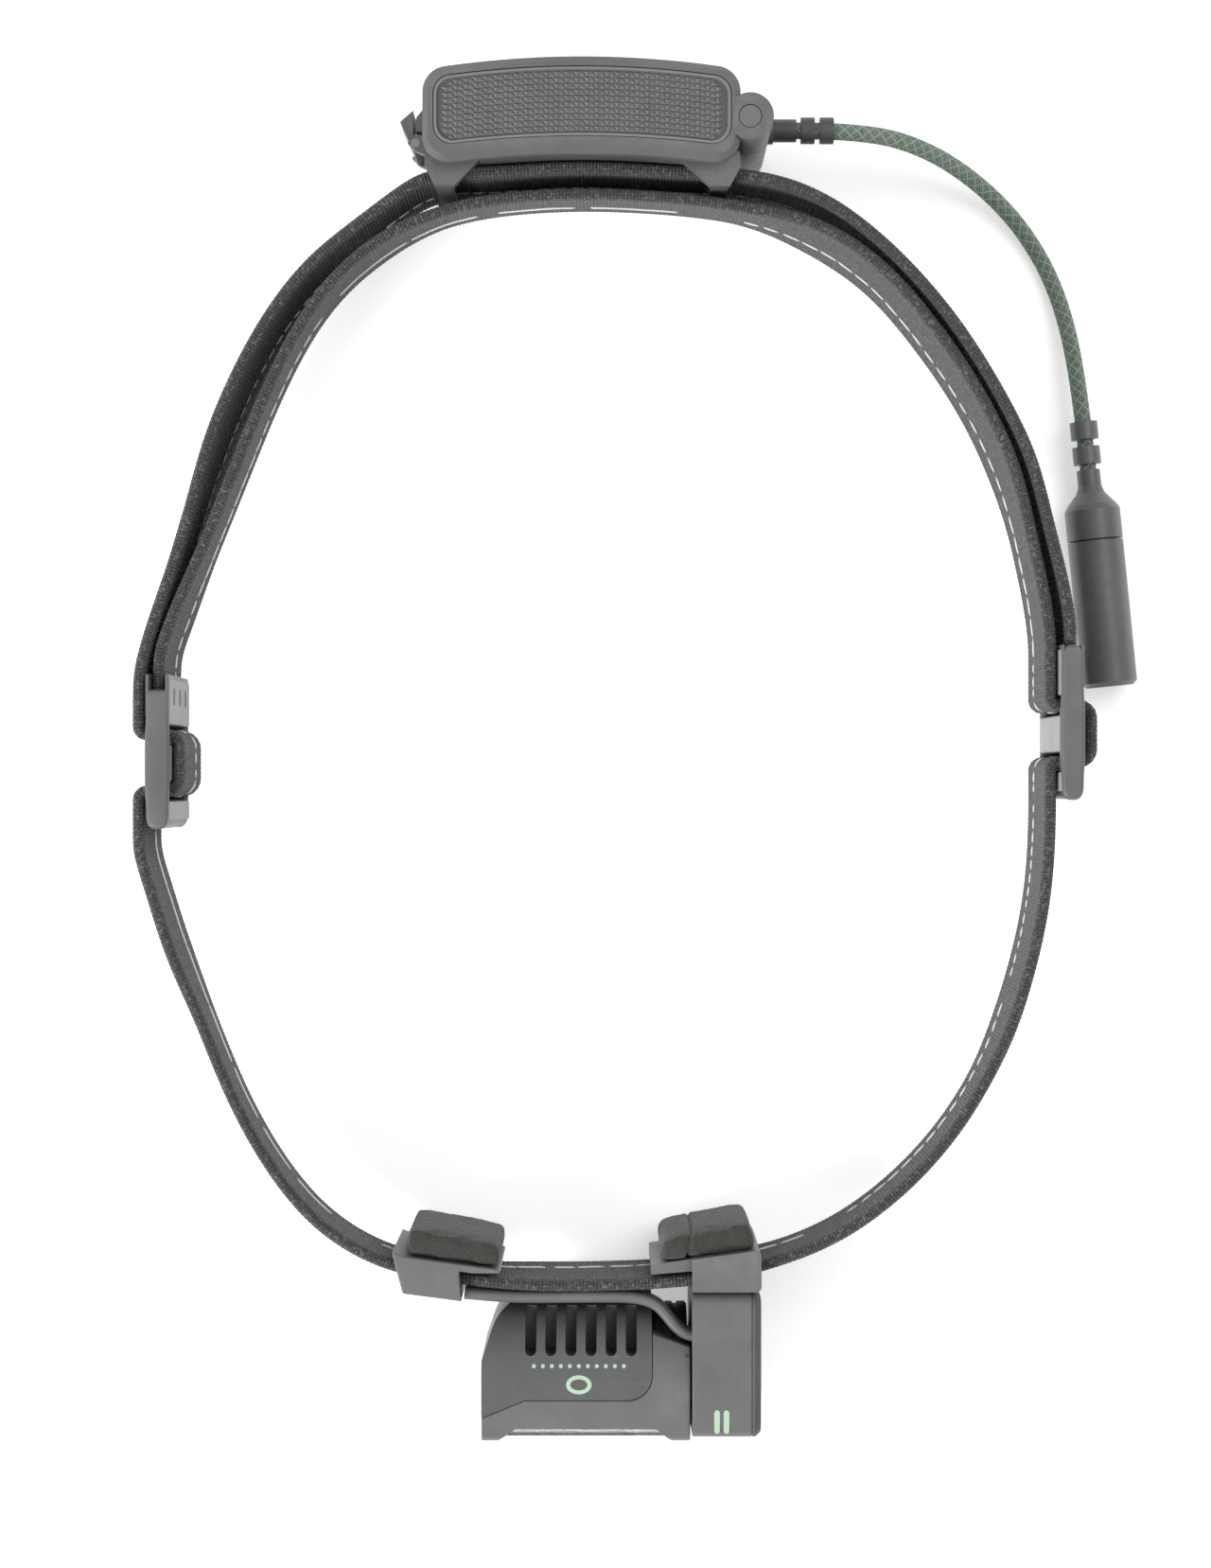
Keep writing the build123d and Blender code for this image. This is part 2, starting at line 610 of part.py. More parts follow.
def reflector(x):
    """Deep chromed cup around one LED."""
    depth = BOARD_FACE - LENS_REAR - 0.2
    with BuildPart() as cup:
        with BuildSketch(Plane.XY.offset(TILT_Z)):
            with BuildLine():
                Polyline(
                    (x + 2.2, BOARD_FACE - 0.1), (x + 3.9, BOARD_FACE - 2.2),
                    (x + REFLECTOR_R, BOARD_FACE - depth),
                    (x + REFLECTOR_R - 0.5, BOARD_FACE - depth),
                    (x + 3.3, BOARD_FACE - 2.4), (x + 1.9, BOARD_FACE - 0.1), close=True,
                )
            make_face()
        revolve(axis=Axis((x, 0, TILT_Z), (0, 1, 0)))
    return cup


flood_reflector = reflector(REFLECTOR_X[0])
node(flood_reflector, "flood_reflector")

spot_reflector = reflector(REFLECTOR_X[1])
node(spot_reflector, "spot_reflector")

with BuildPart() as optic:
    with BuildSketch(Plane.XY.offset(TILT_Z)):
        with BuildLine():
            Polyline(
                (OPTIC_X, BOARD_FACE - 0.9), (OPTIC_X + 1.8, BOARD_FACE - 0.9),
                (OPTIC_X + 2.7, LENS_REAR + 0.6), (OPTIC_X, LENS_REAR + 0.6), close=True,
            )
        make_face()
    revolve(axis=Axis((OPTIC_X, 0, TILT_Z), (0, 1, 0)))
node(optic, "centre_optic")

with BuildPart() as head_screws:
    with Locations(*HEAD_SCREWS):
        Cylinder(SCREW_R, SCREW_LENGTH, rotation=(90, 0, 0))
node(head_screws, "bezel_screws")


# ---- battery pack -------------------------------------------------------------------------


def arc_y(x, peak, radius):
    """Distance back of an arc that follows the head and peaks at the middle of the pack."""
    return peak - radius + sqrt(radius**2 - (x - PACK_X) ** 2)


def pack_plan(left, right, front, rear, corner=0.0, height=0.0):
    """Plan outline between two arcs; front and rear are (peak, radius)."""
    with BuildSketch(Plane.XY.offset(height)) as outline:
        with BuildLine():
            ThreePointArc(
                (left, arc_y(left, *rear)), (PACK_X, rear[0]), (right, arc_y(right, *rear)),
            )
            Line((right, arc_y(right, *rear)), (right, arc_y(right, *front)))
            ThreePointArc(
                (right, arc_y(right, *front)), (PACK_X, front[0]), (left, arc_y(left, *front)),
            )
            Line((left, arc_y(left, *front)), (left, arc_y(left, *rear)))
        make_face()
        if corner > 0:
            fillet(outline.vertices(), corner)
    return outline.sketch


SHELL_FRONT = (PACK_FRONT, PACK_FRONT_R)
SHELL_REAR = (PACK_REAR, PACK_REAR_R)
INNER_REAR = (PACK_REAR - SHELL_WALL, PACK_REAR_R - SHELL_WALL)
GRIP_FRONT = (PACK_FRONT + 2.9, PACK_FRONT_R)
GRIP_REAR = (PACK_REAR - 1.8, PACK_REAR_R)
INNER_LEFT = PACK_LEFT + SHELL_WALL
INNER_RIGHT = PACK_RIGHT - SHELL_WALL
INSIDE_FOOT = SHELL_ROOF
INSIDE_HEAD = PACK_HEIGHT - SHELL_ROOF
INSIDE_HEIGHT = INSIDE_HEAD - INSIDE_FOOT
GRIP_LEFT = PACK_LEFT + 1.9
GRIP_RIGHT = PACK_RIGHT - 1.6
LIP_FOOT = 14.5
LIP_HEIGHT = 11.0


def hinge_disc(radius, foot, head, mode=Mode.ADD):
    """Disc or bore on the hinge axis of the battery cover."""
    with BuildSketch(Plane.XY.offset(foot)) as disc:
        with Locations((HINGE_X, HINGE_Y)):
            Circle(radius)
    extrude(disc.sketch, amount=head - foot, mode=mode)


with BuildPart() as shell:
    extrude(pack_plan(PACK_LEFT, PACK_RIGHT, SHELL_FRONT, SHELL_REAR, 4.6), amount=PACK_HEIGHT)
    chamfer(shell.faces().filter_by(Axis.Z).edges(), 1.0)
    hinge_disc(KNUCKLE_R, 0.0, PACK_HEIGHT)
    extrude(
        pack_plan(INNER_LEFT, INNER_RIGHT, (BASE_FRONT, PACK_FRONT_R), INNER_REAR, 3.2, INSIDE_FOOT),
        amount=INSIDE_HEIGHT, mode=Mode.SUBTRACT,
    )
    extrude(
        pack_plan(
            PACK_LEFT - 2, PACK_RIGHT + 6, (90.0, PACK_FRONT_R), (110.6, PACK_FRONT_R),
            height=INSIDE_FOOT,
        ),
        amount=INSIDE_HEIGHT, mode=Mode.SUBTRACT,
    )
    hinge_disc(KNUCKLE_R, INSIDE_FOOT, KNUCKLE_FOOT - CLEAR)
    hinge_disc(KNUCKLE_R, KNUCKLE_HEAD + CLEAR, INSIDE_HEAD)
    hinge_disc(KNUCKLE_R + 0.4, KNUCKLE_FOOT - CLEAR, KNUCKLE_HEAD + CLEAR, Mode.SUBTRACT)
    with Locations((PACK_RIGHT, HINGE_Y, KNUCKLE_FOOT - CLEAR)):
        Box(
            6.0, 8.0, KNUCKLE_HEAD - KNUCKLE_FOOT + 2 * CLEAR,
            align=(Align.CENTER, Align.MAX, Align.MIN), mode=Mode.SUBTRACT,
        )
    with Locations((PACK_RIGHT, 113.0, CORD_EXIT_Z)):
        Box(
            4.8, 6.5, 2 * SOCKET_R + 2 * CLEAR,
            align=(Align.CENTER, Align.MIN, Align.CENTER), mode=Mode.SUBTRACT,
        )
    with Locations((PACK_LEFT, 108.0, 11.5)):
        Box(4.0, 5.4, 17.0, align=(Align.CENTER, Align.MIN, Align.MIN), mode=Mode.SUBTRACT)
    with BuildSketch(Plane.XY.offset(LIP_FOOT)):
        with BuildLine():
            Polyline(
                (PACK_LEFT + 0.2, 113.5), (LATCH_X, 113.5), (LATCH_X, 116.0),
                (PACK_LEFT + 0.2, 118.6), close=True,
            )
        make_face()
    extrude(amount=LIP_HEIGHT)
    hinge_disc(PIN_R + 0.05, 0.8, PACK_HEIGHT, Mode.SUBTRACT)
    hinge_disc(PIN_HEAD_R + 0.1, PACK_HEIGHT - 1.4, PACK_HEIGHT, Mode.SUBTRACT)
    for foot in (0.0, PACK_HEIGHT - GRIP_DEPTH):
        extrude(
            pack_plan(GRIP_LEFT, GRIP_RIGHT, GRIP_FRONT, GRIP_REAR, 3.4, foot),
            amount=GRIP_DEPTH, mode=Mode.SUBTRACT,
        )
node(shell, "battery_cover")


def grip(foot):
    """Studded rubber panel let into the top or the bottom of the cover."""
    with BuildPart() as panel:
        extrude(
            pack_plan(
                GRIP_LEFT + GRIP_GAP, GRIP_RIGHT - GRIP_GAP,
                (GRIP_FRONT[0] + GRIP_GAP, PACK_FRONT_R), (GRIP_REAR[0] - GRIP_GAP, PACK_REAR_R),
                3.3, foot,
            ),
            amount=GRIP_DEPTH,
        )
    return panel


top_grip = grip(PACK_HEIGHT - GRIP_DEPTH)
node(top_grip, "grip_panel_top")

bottom_grip = grip(0.0)
node(bottom_grip, "grip_panel_bottom")

BASE_FACE = (BASE_FRONT, PACK_FRONT_R)
BASE_BACK = (BASE_FRONT + BASE_THICK, PACK_FRONT_R)
BASE_LEFT = INNER_LEFT + 0.9
BASE_RIGHT = 19.0
BASE_FOOT = INSIDE_FOOT + CLEAR
BASE_HEIGHT = INSIDE_HEIGHT - 2 * CLEAR
RIB_X = (-31.2, 17.6)
RIB_THICK = 1.0

BASE_SCREWS = [
    (x, arc_y(x, BASE_FRONT, PACK_FRONT_R), z)
    for x in (PACK_X - 19.0, PACK_X + 19.0) for z in (5.6, PACK_HEIGHT - 5.6)
]


def base_screw_shanks(mode=Mode.ADD):
    """Screws, or their holes, that join the battery base to the cradle plate."""
    with Locations(*BASE_SCREWS):
        Cylinder(0.7, 2.6, rotation=(90, 0, 0), mode=mode)


with BuildPart() as base:
    plate = pack_plan(BASE_LEFT, BASE_RIGHT, BASE_FACE, BASE_BACK, height=BASE_FOOT)
    extrude(plate, amount=BASE_HEIGHT)
    with Locations(*[(x, BASE_FRONT + 0.3, 4.0) for x in RIB_X]):
        Box(RIB_THICK, 9.2, 32.0, align=(Align.CENTER, Align.MIN, Align.MIN))
    with BuildSketch(Plane.XY.offset(KNUCKLE_FOOT)):
        with BuildLine():
            Polyline(
                (15.0, 107.6), (19.4, 108.7), (HINGE_X, HINGE_Y - KNUCKLE_R + 0.2),
                (HINGE_X, HINGE_Y), (20.4, HINGE_Y), (15.0, 109.0), close=True,
            )
        make_face()
        with Locations((HINGE_X, HINGE_Y)):
            Circle(KNUCKLE_R)
    extrude(amount=KNUCKLE_HEAD - KNUCKLE_FOOT)
    with BuildSketch(Plane.YZ.offset(HINGE_X)):
        with Locations((CORD_LINE_Y, CORD_EXIT_Z)):
            Circle(SOCKET_R)
    extrude(amount=SOCKET_END - HINGE_X)
    for lug in (11.9, 26.1):
        with BuildSketch(Plane.XY.offset(lug)):
            with BuildLine():
                Polyline(
                    (BASE_LEFT + 0.5, 107.4), (BASE_LEFT + 0.5, 112.3), (LATCH_X, 112.3),
                    (LATCH_X - 1.4, LATCH_Y), (LATCH_X, LATCH_Y - 1.4), close=True,
                )
            make_face()
        extrude(amount=2.0)
    hinge_disc(PIN_R, KNUCKLE_FOOT, KNUCKLE_HEAD, Mode.SUBTRACT)
    with Locations((LATCH_X, LATCH_Y, 20.0)):
        Cylinder(LATCH_PIN_R, 20.0, mode=Mode.SUBTRACT)
    cut_strand_slot(outer_line)
    base_screw_shanks(Mode.SUBTRACT)
node(base, "battery_base")

with BuildPart() as hinge_pin:
    hinge_disc(PIN_R, 1.0, PACK_HEIGHT - 1.3)
    hinge_disc(PIN_HEAD_R, PACK_HEIGHT - 1.3, PACK_HEIGHT - 0.1)
node(hinge_pin, "cover_hinge_pin")

with BuildPart() as latch:
    with BuildSketch(Plane.XY.offset(14.2)):
        with BuildLine():
            Polyline(
                (LATCH_X - 0.2, LATCH_Y - 1.6), (LATCH_X + 1.1, LATCH_Y - 1.0),
                (LATCH_X + 1.1, LATCH_Y + 1.6), (LATCH_X - 0.5, LATCH_Y + 2.0),
                (LATCH_X - 0.5, LATCH_Y + 6.4), (LATCH_X - 2.9, LATCH_Y + 4.3), close=True,
            )
        make_face()
    extrude(amount=11.6)
    with Locations((LATCH_X, LATCH_Y, 20.0)):
        Cylinder(LATCH_PIN_R + 0.05, 20.0, mode=Mode.SUBTRACT)
node(latch, "cover_latch")

with BuildPart() as latch_pin:
    with Locations((LATCH_X, LATCH_Y, 20.0)):
        Cylinder(LATCH_PIN_R, 16.2)
node(latch_pin, "latch_pin")

GASKET_REAR = (BASE_BACK[0] + 0.6, PACK_FRONT_R)
GASKET_RIGHT = 14.8

with BuildPart() as gasket:
    outer = pack_plan(
        BASE_LEFT + 1.6, GASKET_RIGHT, BASE_BACK, GASKET_REAR, height=BASE_FOOT + 0.2,
    )
    extrude(outer, amount=BASE_HEIGHT - 0.4)
    inner = pack_plan(
        BASE_LEFT + 2.7, GASKET_RIGHT - 1.1, (100.0, PACK_FRONT_R), (120.0, PACK_FRONT_R),
        height=BASE_FOOT + 1.0,
    )
    extrude(inner, amount=BASE_HEIGHT - 2.0, mode=Mode.SUBTRACT)
node(gasket, "base_seal")

CELL_Z = [PACK_HEIGHT / 2 + CELL_PITCH * row for row in (-1, 0, 1)]

with BuildPart() as cells:
    with Locations(*[(PACK_X, CELL_Y, z) for z in CELL_Z]):
        Cylinder(CELL_R, CELL_LENGTH - 1.0, rotation=(0, 90, 0))
    with Locations(*[(PACK_X + CELL_LENGTH / 2 - 0.5, CELL_Y, z) for z in CELL_Z]):
        Cylinder(1.9, 1.0, rotation=(0, 90, 0))
node(cells, "aaa_cells")

with BuildPart() as springs:
    for z in CELL_Z:
        with Locations((-29.3, CELL_Y, z)):
            Cone(2.6, 1.6, 2.0, rotation=(0, 90, 0))
node(springs, "contact_springs")

with BuildPart() as contacts:
    with Locations((-30.5, CELL_Y, 20.0), (16.85, CELL_Y, 20.0)):
        Box(0.3, 7.0, 31.0)
node(contacts, "contact_plates")

CRADLE_FACE = (BASE_FRONT - 0.1 - PLATE_THICK, PACK_FRONT_R)
CRADLE_BACK = (BASE_FRONT - 0.1, PACK_FRONT_R)

with BuildPart() as cradle:
    for foot in (33.2, 4.4):
        with BuildSketch(Plane.XY.offset(foot)):
            with BuildLine():
                Polyline(
                    (-34.2, 108.1), (-34.2, 105.4), (-32.4, 101.85), (-28.8, 101.85),
                    (-24.5, 106.3), (-24.5, 107.3), (-28.0, 107.0), (-32.4, 106.4),
                    (-32.4, 108.1), close=True,
                )
            make_face()
            with BuildLine():
                Polyline(
                    (22.4, 108.0), (22.6, 105.2), (20.6, 101.75), (17.0, 101.75),
                    (12.0, 106.3), (12.0, 107.3), (16.2, 106.9), (19.3, 106.5),
                    (19.3, 108.0), close=True,
                )
            make_face()
        extrude(amount=2.4)
    for x, y in ((-30.7, 102.3), (18.8, 102.2)):
        with Locations((x, y, 4.9)):
            Box(3.2, 0.9, 30.2, align=(Align.CENTER, Align.CENTER, Align.MIN))
    cut_strand_slot(outer_line)
    extrude(pack_plan(-25.4, 12.9, CRADLE_FACE, CRADLE_BACK, height=3.4), amount=33.2)
    base_screw_shanks(Mode.SUBTRACT)
node(cradle, "band_cradle")

with BuildPart() as base_screws:
    base_screw_shanks()
node(base_screws, "base_screws")


# ---- battery cord and its connector -------------------------------------------------------
# The cord leaves its boot level, sags to the surface, lies on it in one wide bend and rises
# into the connector, which lies on the surface.
CORD_POINTS = [
    (BOOT_END, CORD_LINE_Y, CORD_EXIT_Z),
    (46.4, CORD_LINE_Y, CORD_EXIT_Z),
    (58.9, 112.9, 11.2),
    (70.1, 107.1, 3.9),
    (78.6, 98.4, 1.6),
    (84.6, 86.8, 1.6),
    (87.7, 70.5, CONNECTOR_Z),
    (89.4, 53.6, CONNECTOR_Z),
]


def corner_radii(points):
    """Bend radius at each corner: 0.45 of the shorter run over the tangent of half the turn."""
    radii = []
    for before, corner, after in zip(points, points[1:], points[2:]):
        run_in = Vector(*corner) - Vector(*before)
        run_out = Vector(*after) - Vector(*corner)
        turn = run_in.get_angle(run_out)
        radii.append(0.45 * min(run_in.length, run_out.length) / tan(radians(turn / 2)))
    return radii


cord_radii = corner_radii(CORD_POINTS)
print("cord radii", [round(radius, 1) for radius in cord_radii])

with BuildPart() as cord:
    with BuildLine() as cord_path:
        FilletPolyline(*CORD_POINTS, radius=cord_radii)
    with BuildSketch(Plane(origin=CORD_POINTS[0], z_dir=(1, 0, 0))):
        Circle(CORD_R)
    sweep()
cord_length = cord_path.wires()[0].length
print("cord length", round(cord_length, 1), "section", round(cord.part.volume / cord_length, 3))
node(cord, "battery_cord")

with BuildPart() as boot:
    with BuildSketch(Plane.YZ.offset(SOCKET_END)):
        with Locations((CORD_LINE_Y, CORD_EXIT_Z)):
            Circle(2.1)
    extrude(amount=BOOT_END - SOCKET_END)
    for start in (34.4, 37.9):
        with BuildSketch(Plane.YZ.offset(start)):
            with Locations((CORD_LINE_Y, CORD_EXIT_Z)):
                Circle(RING_R)
                Circle(CORD_R + 0.05, mode=Mode.SUBTRACT)
        extrude(amount=2.5)
    with Locations((BOOT_END - 1.0, CORD_LINE_Y, CORD_EXIT_Z - 1.95)):
        Box(7.9, 1.2, 0.6, align=(Align.MIN, Align.CENTER, Align.CENTER))
node(boot, "cord_boot")

CORD_END = Vector(*CORD_POINTS[-1])
CORD_IN = (CORD_END - Vector(*CORD_POINTS[-2])).normalized()
COLLAR_LENGTH = 13.2
CAP_END = 41.0
CAP_FLOOR = COLLAR_LENGTH + 13.0
PLUG_START = COLLAR_LENGTH + 3.0
PLUG_R = 3.8
CAP_BORE = PLUG_R + 0.3
side_plane = Plane(origin=CORD_END, x_dir=CORD_IN, z_dir=(0, 0, 1))
connector_axis = Axis(CORD_END, CORD_IN)


def turned(outline):
    """Turn a half outline, given as (distance along, radius), round the connector's axis."""
    with BuildSketch(side_plane) as half:
        with BuildLine():
            Polyline(*outline, close=True)
        make_face()
    revolve(half.sketch, axis=connector_axis)


def ring_outline(start, end, inner, outer):
    """Half outline of a plain ring on the connector's axis."""
    return [(start, inner), (start, outer), (end, outer), (end, inner)]


with BuildPart() as collar:
    neck = [(0, 0), (0, 2.2), (3.0, 2.2), (4.4, 2.7), (6.6, BARREL_R - 0.6)]
    turned(neck + [(7.6, BARREL_R), (COLLAR_LENGTH, BARREL_R), (COLLAR_LENGTH, 0)])
    for start in (-4.4, -9.1):
        turned(ring_outline(start, start + 3.3, CORD_R + 0.05, RING_R + 0.15))
    with BuildSketch(Plane(origin=CORD_END, x_dir=(0, 0, 1), z_dir=CORD_IN)) as spine:
        with Locations((-2.05, 0)):
            Rectangle(0.7, 1.3)
    extrude(spine.sketch, amount=-6.5)
    extrude(spine.sketch, amount=0.5)
node(collar, "connector_body")

with BuildPart() as plug:
    turned(ring_outline(COLLAR_LENGTH, COLLAR_LENGTH + 12.0, 2.9, PLUG_R))
    turned(ring_outline(COLLAR_LENGTH, PLUG_START, 0, PLUG_R))
node(plug, "connector_plug")

PIN_CIRCLE = 1.6

with BuildPart() as pins:
    pin_foot = CORD_END + CORD_IN * PLUG_START
    pin_plane = Plane(origin=pin_foot, x_dir=(0, 0, 1), z_dir=CORD_IN)
    with BuildSketch(pin_plane) as pin_ends:
        with PolarLocations(PIN_CIRCLE, 3):
            Circle(0.45)
    extrude(pin_ends.sketch, amount=7.0)
node(pins, "connector_pins")

with BuildPart() as plug_seal:
    turned(ring_outline(COLLAR_LENGTH + 0.02, COLLAR_LENGTH + 1.2, PLUG_R + 0.01, PLUG_R + 0.25))
node(plug_seal, "connector_seal")

with BuildPart() as cap:
    turned([
        (COLLAR_LENGTH + 0.3, CAP_BORE), (COLLAR_LENGTH + 0.3, BARREL_R), (CAP_END - 0.8, BARREL_R),
        (CAP_END, BARREL_R - 0.8), (CAP_END, 0), (CAP_FLOOR, 0), (CAP_FLOOR, CAP_BORE),
    ])
node(cap, "connector_cap")
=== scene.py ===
"""Looks of the headlamp: knitted webbing, napped pads, moulded shells, braided cord.

Metres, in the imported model's frame: Z up, +X the wearer's left, +Y the back of the head.
"""
import math

import bmesh
import bpy
import numpy as np
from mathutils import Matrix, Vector


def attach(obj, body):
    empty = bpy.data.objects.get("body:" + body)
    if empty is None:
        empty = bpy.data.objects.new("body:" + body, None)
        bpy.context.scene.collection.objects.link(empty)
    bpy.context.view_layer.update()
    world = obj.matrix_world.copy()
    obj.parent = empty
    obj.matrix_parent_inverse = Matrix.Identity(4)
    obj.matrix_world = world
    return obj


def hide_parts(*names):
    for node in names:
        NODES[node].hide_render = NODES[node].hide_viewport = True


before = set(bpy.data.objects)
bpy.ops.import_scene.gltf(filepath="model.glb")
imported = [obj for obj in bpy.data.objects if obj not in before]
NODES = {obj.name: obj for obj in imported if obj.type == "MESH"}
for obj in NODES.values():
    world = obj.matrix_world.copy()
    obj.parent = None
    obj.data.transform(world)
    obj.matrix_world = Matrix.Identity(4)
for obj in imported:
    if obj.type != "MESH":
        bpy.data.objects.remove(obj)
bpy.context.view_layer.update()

MM = 0.001
ROOT = "band_and_base"


# ---- camera, straight above ---------------------------------------------------------------
CAMERA_PLACE = (-0.0017, -0.0056, 0.621)
FRAME_HALF = 828.5 / 3448.0

camera_data = bpy.data.cameras.new("camera")
camera = bpy.data.objects.new("camera", camera_data)
bpy.context.scene.collection.objects.link(camera)
camera.location = CAMERA_PLACE
camera_data.sensor_fit = "VERTICAL"
camera_data.angle = 2 * math.atan(FRAME_HALF)
camera_data.clip_start = 0.01
bpy.context.scene.camera = camera


# ---- helpers ------------------------------------------------------------------------------


def add_object(name, data):
    """Link a new object with this data into the scene."""
    obj = bpy.data.objects.new(name, data)
    bpy.context.scene.collection.objects.link(obj)
    return obj


def mesh_object(name, verts, faces, uvs=None, smooth=True):
    """Object from vertices in millimetres; uvs hold one pair per vertex, also in millimetres."""
    mesh = bpy.data.meshes.new(name)
    mesh.from_pydata([tuple(np.asarray(v) * MM) for v in verts], [], faces)
    mesh.polygons.foreach_set("use_smooth", [smooth] * len(mesh.polygons))
    if uvs is not None:
        layer = mesh.uv_layers.new(name="UVMap")
        index = np.zeros(len(mesh.loops), dtype=np.int32)
        mesh.loops.foreach_get("vertex_index", index)
        layer.data.foreach_set("uv", np.asarray(uvs, dtype=np.float32)[index].ravel())
    mesh.validate()
    return add_object(name, mesh)


class Graph:
    """A node material under construction."""

    def __init__(self, name):
        self.mat = bpy.data.materials.new(name)
        self.mat.use_nodes = True
        self.tree = self.mat.node_tree
        self.bsdf = self.tree.nodes["Principled BSDF"]

    def put(self, socket, value):
        if isinstance(value, bpy.types.NodeSocket):
            self.tree.links.new(value, socket)
        else:
            socket.default_value = value

    def node(self, kind, settings=None, **inputs):
        new = self.tree.nodes.new("ShaderNode" + kind)
        for key, value in (settings or {}).items():
            setattr(new, key, value)
        for key, value in inputs.items():
            self.put(new.inputs[key.replace("_", " ")], value)
        return new

    def math(self, operation, first, second=0.0, third=0.0):
        new = self.tree.nodes.new("ShaderNodeMath")
        new.operation = operation
        for socket, value in zip(new.inputs, (first, second, third)):
            self.put(socket, value)
        return new.outputs[0]

    def mix(self, factor, first, second):
        new = self.tree.nodes.new("ShaderNodeMix")
        new.data_type = "RGBA"
        self.put(new.inputs[0], factor)
        self.put(new.inputs[6], (*first, 1) if isinstance(first, tuple) else first)
        self.put(new.inputs[7], (*second, 1) if isinstance(second, tuple) else second)
        return new.outputs[2]

    def span(self, value, low, high, to_low=0.0, to_high=1.0):
        new = self.node(
            "MapRange", Value=value, From_Min=low, From_Max=high, To_Min=to_low, To_Max=to_high,
        )
        return new.outputs[0]

    def place(self):
        return self.node("TexCoord").outputs["Object"]

    def noise(self, scale, detail=3.0, rough=0.55):
        new = self.node("TexNoise", Scale=scale, Detail=detail, Roughness=rough)
        self.put(new.inputs["Vector"], self.place())
        return new.outputs[0]

    def uv(self):
        parts = self.node("SeparateXYZ", Vector=self.node("UVMap").outputs[0])
        return parts.outputs[0], parts.outputs[1]

    def wave(self, value, pitch, phase=0.0):
        turned = self.math("MULTIPLY_ADD", value, 2 * math.pi / pitch, phase)
        return self.math("SINE", turned)

    def bump(self, height, distance, normal=None):
        new = self.node("Bump", Height=height, Distance=distance, Strength=1.0)
        if normal is not None:
            self.put(new.inputs["Normal"], normal)
        return new.outputs[0]

    def finish(self, **inputs):
        for key, value in inputs.items():
            if isinstance(value, tuple) and len(value) == 3:
                value = (*value, 1)
            self.put(self.bsdf.inputs[key.replace("_", " ")], value)
        return self.mat


def plastic(name, color, rough=0.5, grain=1.0, wear=0.16, grime=0.10):
    """Moulded plastic or rubber: fine grain, slight mottling, paler rubbed edges."""
    g = Graph(name)
    mottle = g.noise(140.0, 4.0)
    fine = g.noise(5200.0, 2.0, 0.6)
    darker = tuple(c * (1 - grime) for c in color)
    lighter = tuple(min(1.0, c * (1 + grime)) for c in color)
    base = g.mix(g.span(mottle, 0.3, 0.7), darker, lighter)
    speckle = g.math("MULTIPLY", g.span(fine, 0.35, 0.65), 0.12)
    base = g.mix(speckle, base, tuple(c * 1.5 for c in color))
    edge = g.span(g.node("NewGeometry").outputs["Pointiness"], 0.52, 0.60)
    scuffed = g.math("MULTIPLY", edge, g.span(g.noise(420.0, 3.0), 0.35, 0.6, 0.3, 1.0))
    rubbed = tuple(min(1.0, c * 2.2 + 0.03) for c in color)
    base = g.mix(g.math("MULTIPLY", scuffed, wear), base, rubbed)
    gloss = g.span(g.noise(60.0, 3.0), 0.3, 0.7, rough - 0.05, rough + 0.07)
    normal = g.bump(fine, 0.00004 * grain)
    normal = g.bump(g.noise(900.0, 2.0), 0.00003 * grain, normal=normal)
    return g.finish(Base_Color=base, Roughness=gloss, Normal=normal)


def knit(name, dark, mid, light):
    """Ribbed elastic knit: fine cross ribs with loops, heathered yarn, a napped surface; the rib hollows
    are painted darker than the crowns, as painted shade.
    """
    g = Graph(name)
    along, around = g.uv()
    rib = g.wave(along, 0.62)
    loop = g.wave(around, 0.74, 0.8)
    stagger = g.math("MULTIPLY", g.wave(along, 1.24, 0.4), g.wave(around, 1.48))
    height = g.math("MULTIPLY_ADD", rib, 0.5, g.math("MULTIPLY", loop, 0.28))
    height = g.math("MULTIPLY_ADD", stagger, 0.25, height)
    fuzz = g.noise(3600.0, 3.0, 0.7)
    heather = g.noise(1500.0, 2.0, 0.6)
    bands = g.noise(90.0, 3.0)
    # Dark in the rib hollows, mid on the crowns: painted shade following the rib height.
    base = g.mix(g.span(height, -0.75, 0.75), dark, mid)
    base = g.mix(g.math("MULTIPLY", g.span(heather, 0.52, 0.68), 0.65), base, light)
    base = g.mix(g.math("MULTIPLY", g.span(bands, 0.35, 0.7), 0.22), base, mid)
    normal = g.bump(height, 0.00017)
    normal = g.bump(fuzz, 0.00010, normal=normal)
    return g.finish(
        Base_Color=base, Roughness=0.93, Normal=normal, Sheen_Weight=0.12, Sheen_Roughness=0.6,
    )


def foam(name, color, light):
    """Napped foam: short fuzzy fibres with clumps and a few paler hairs."""
    g = Graph(name)
    fibres = g.noise(2600.0, 5.0, 0.75)
    clumps = g.noise(420.0, 4.0, 0.6)
    base = g.mix(g.span(clumps, 0.3, 0.7), tuple(c * 0.72 for c in color), color)
    base = g.mix(g.math("MULTIPLY", g.span(fibres, 0.5, 0.75), 0.6), base, light)
    normal = g.bump(fibres, 0.00022)
    normal = g.bump(clumps, 0.0003, normal=normal)
    return g.finish(
        Base_Color=base, Roughness=0.97, Normal=normal, Sheen_Weight=0.25, Sheen_Roughness=0.45,
    )


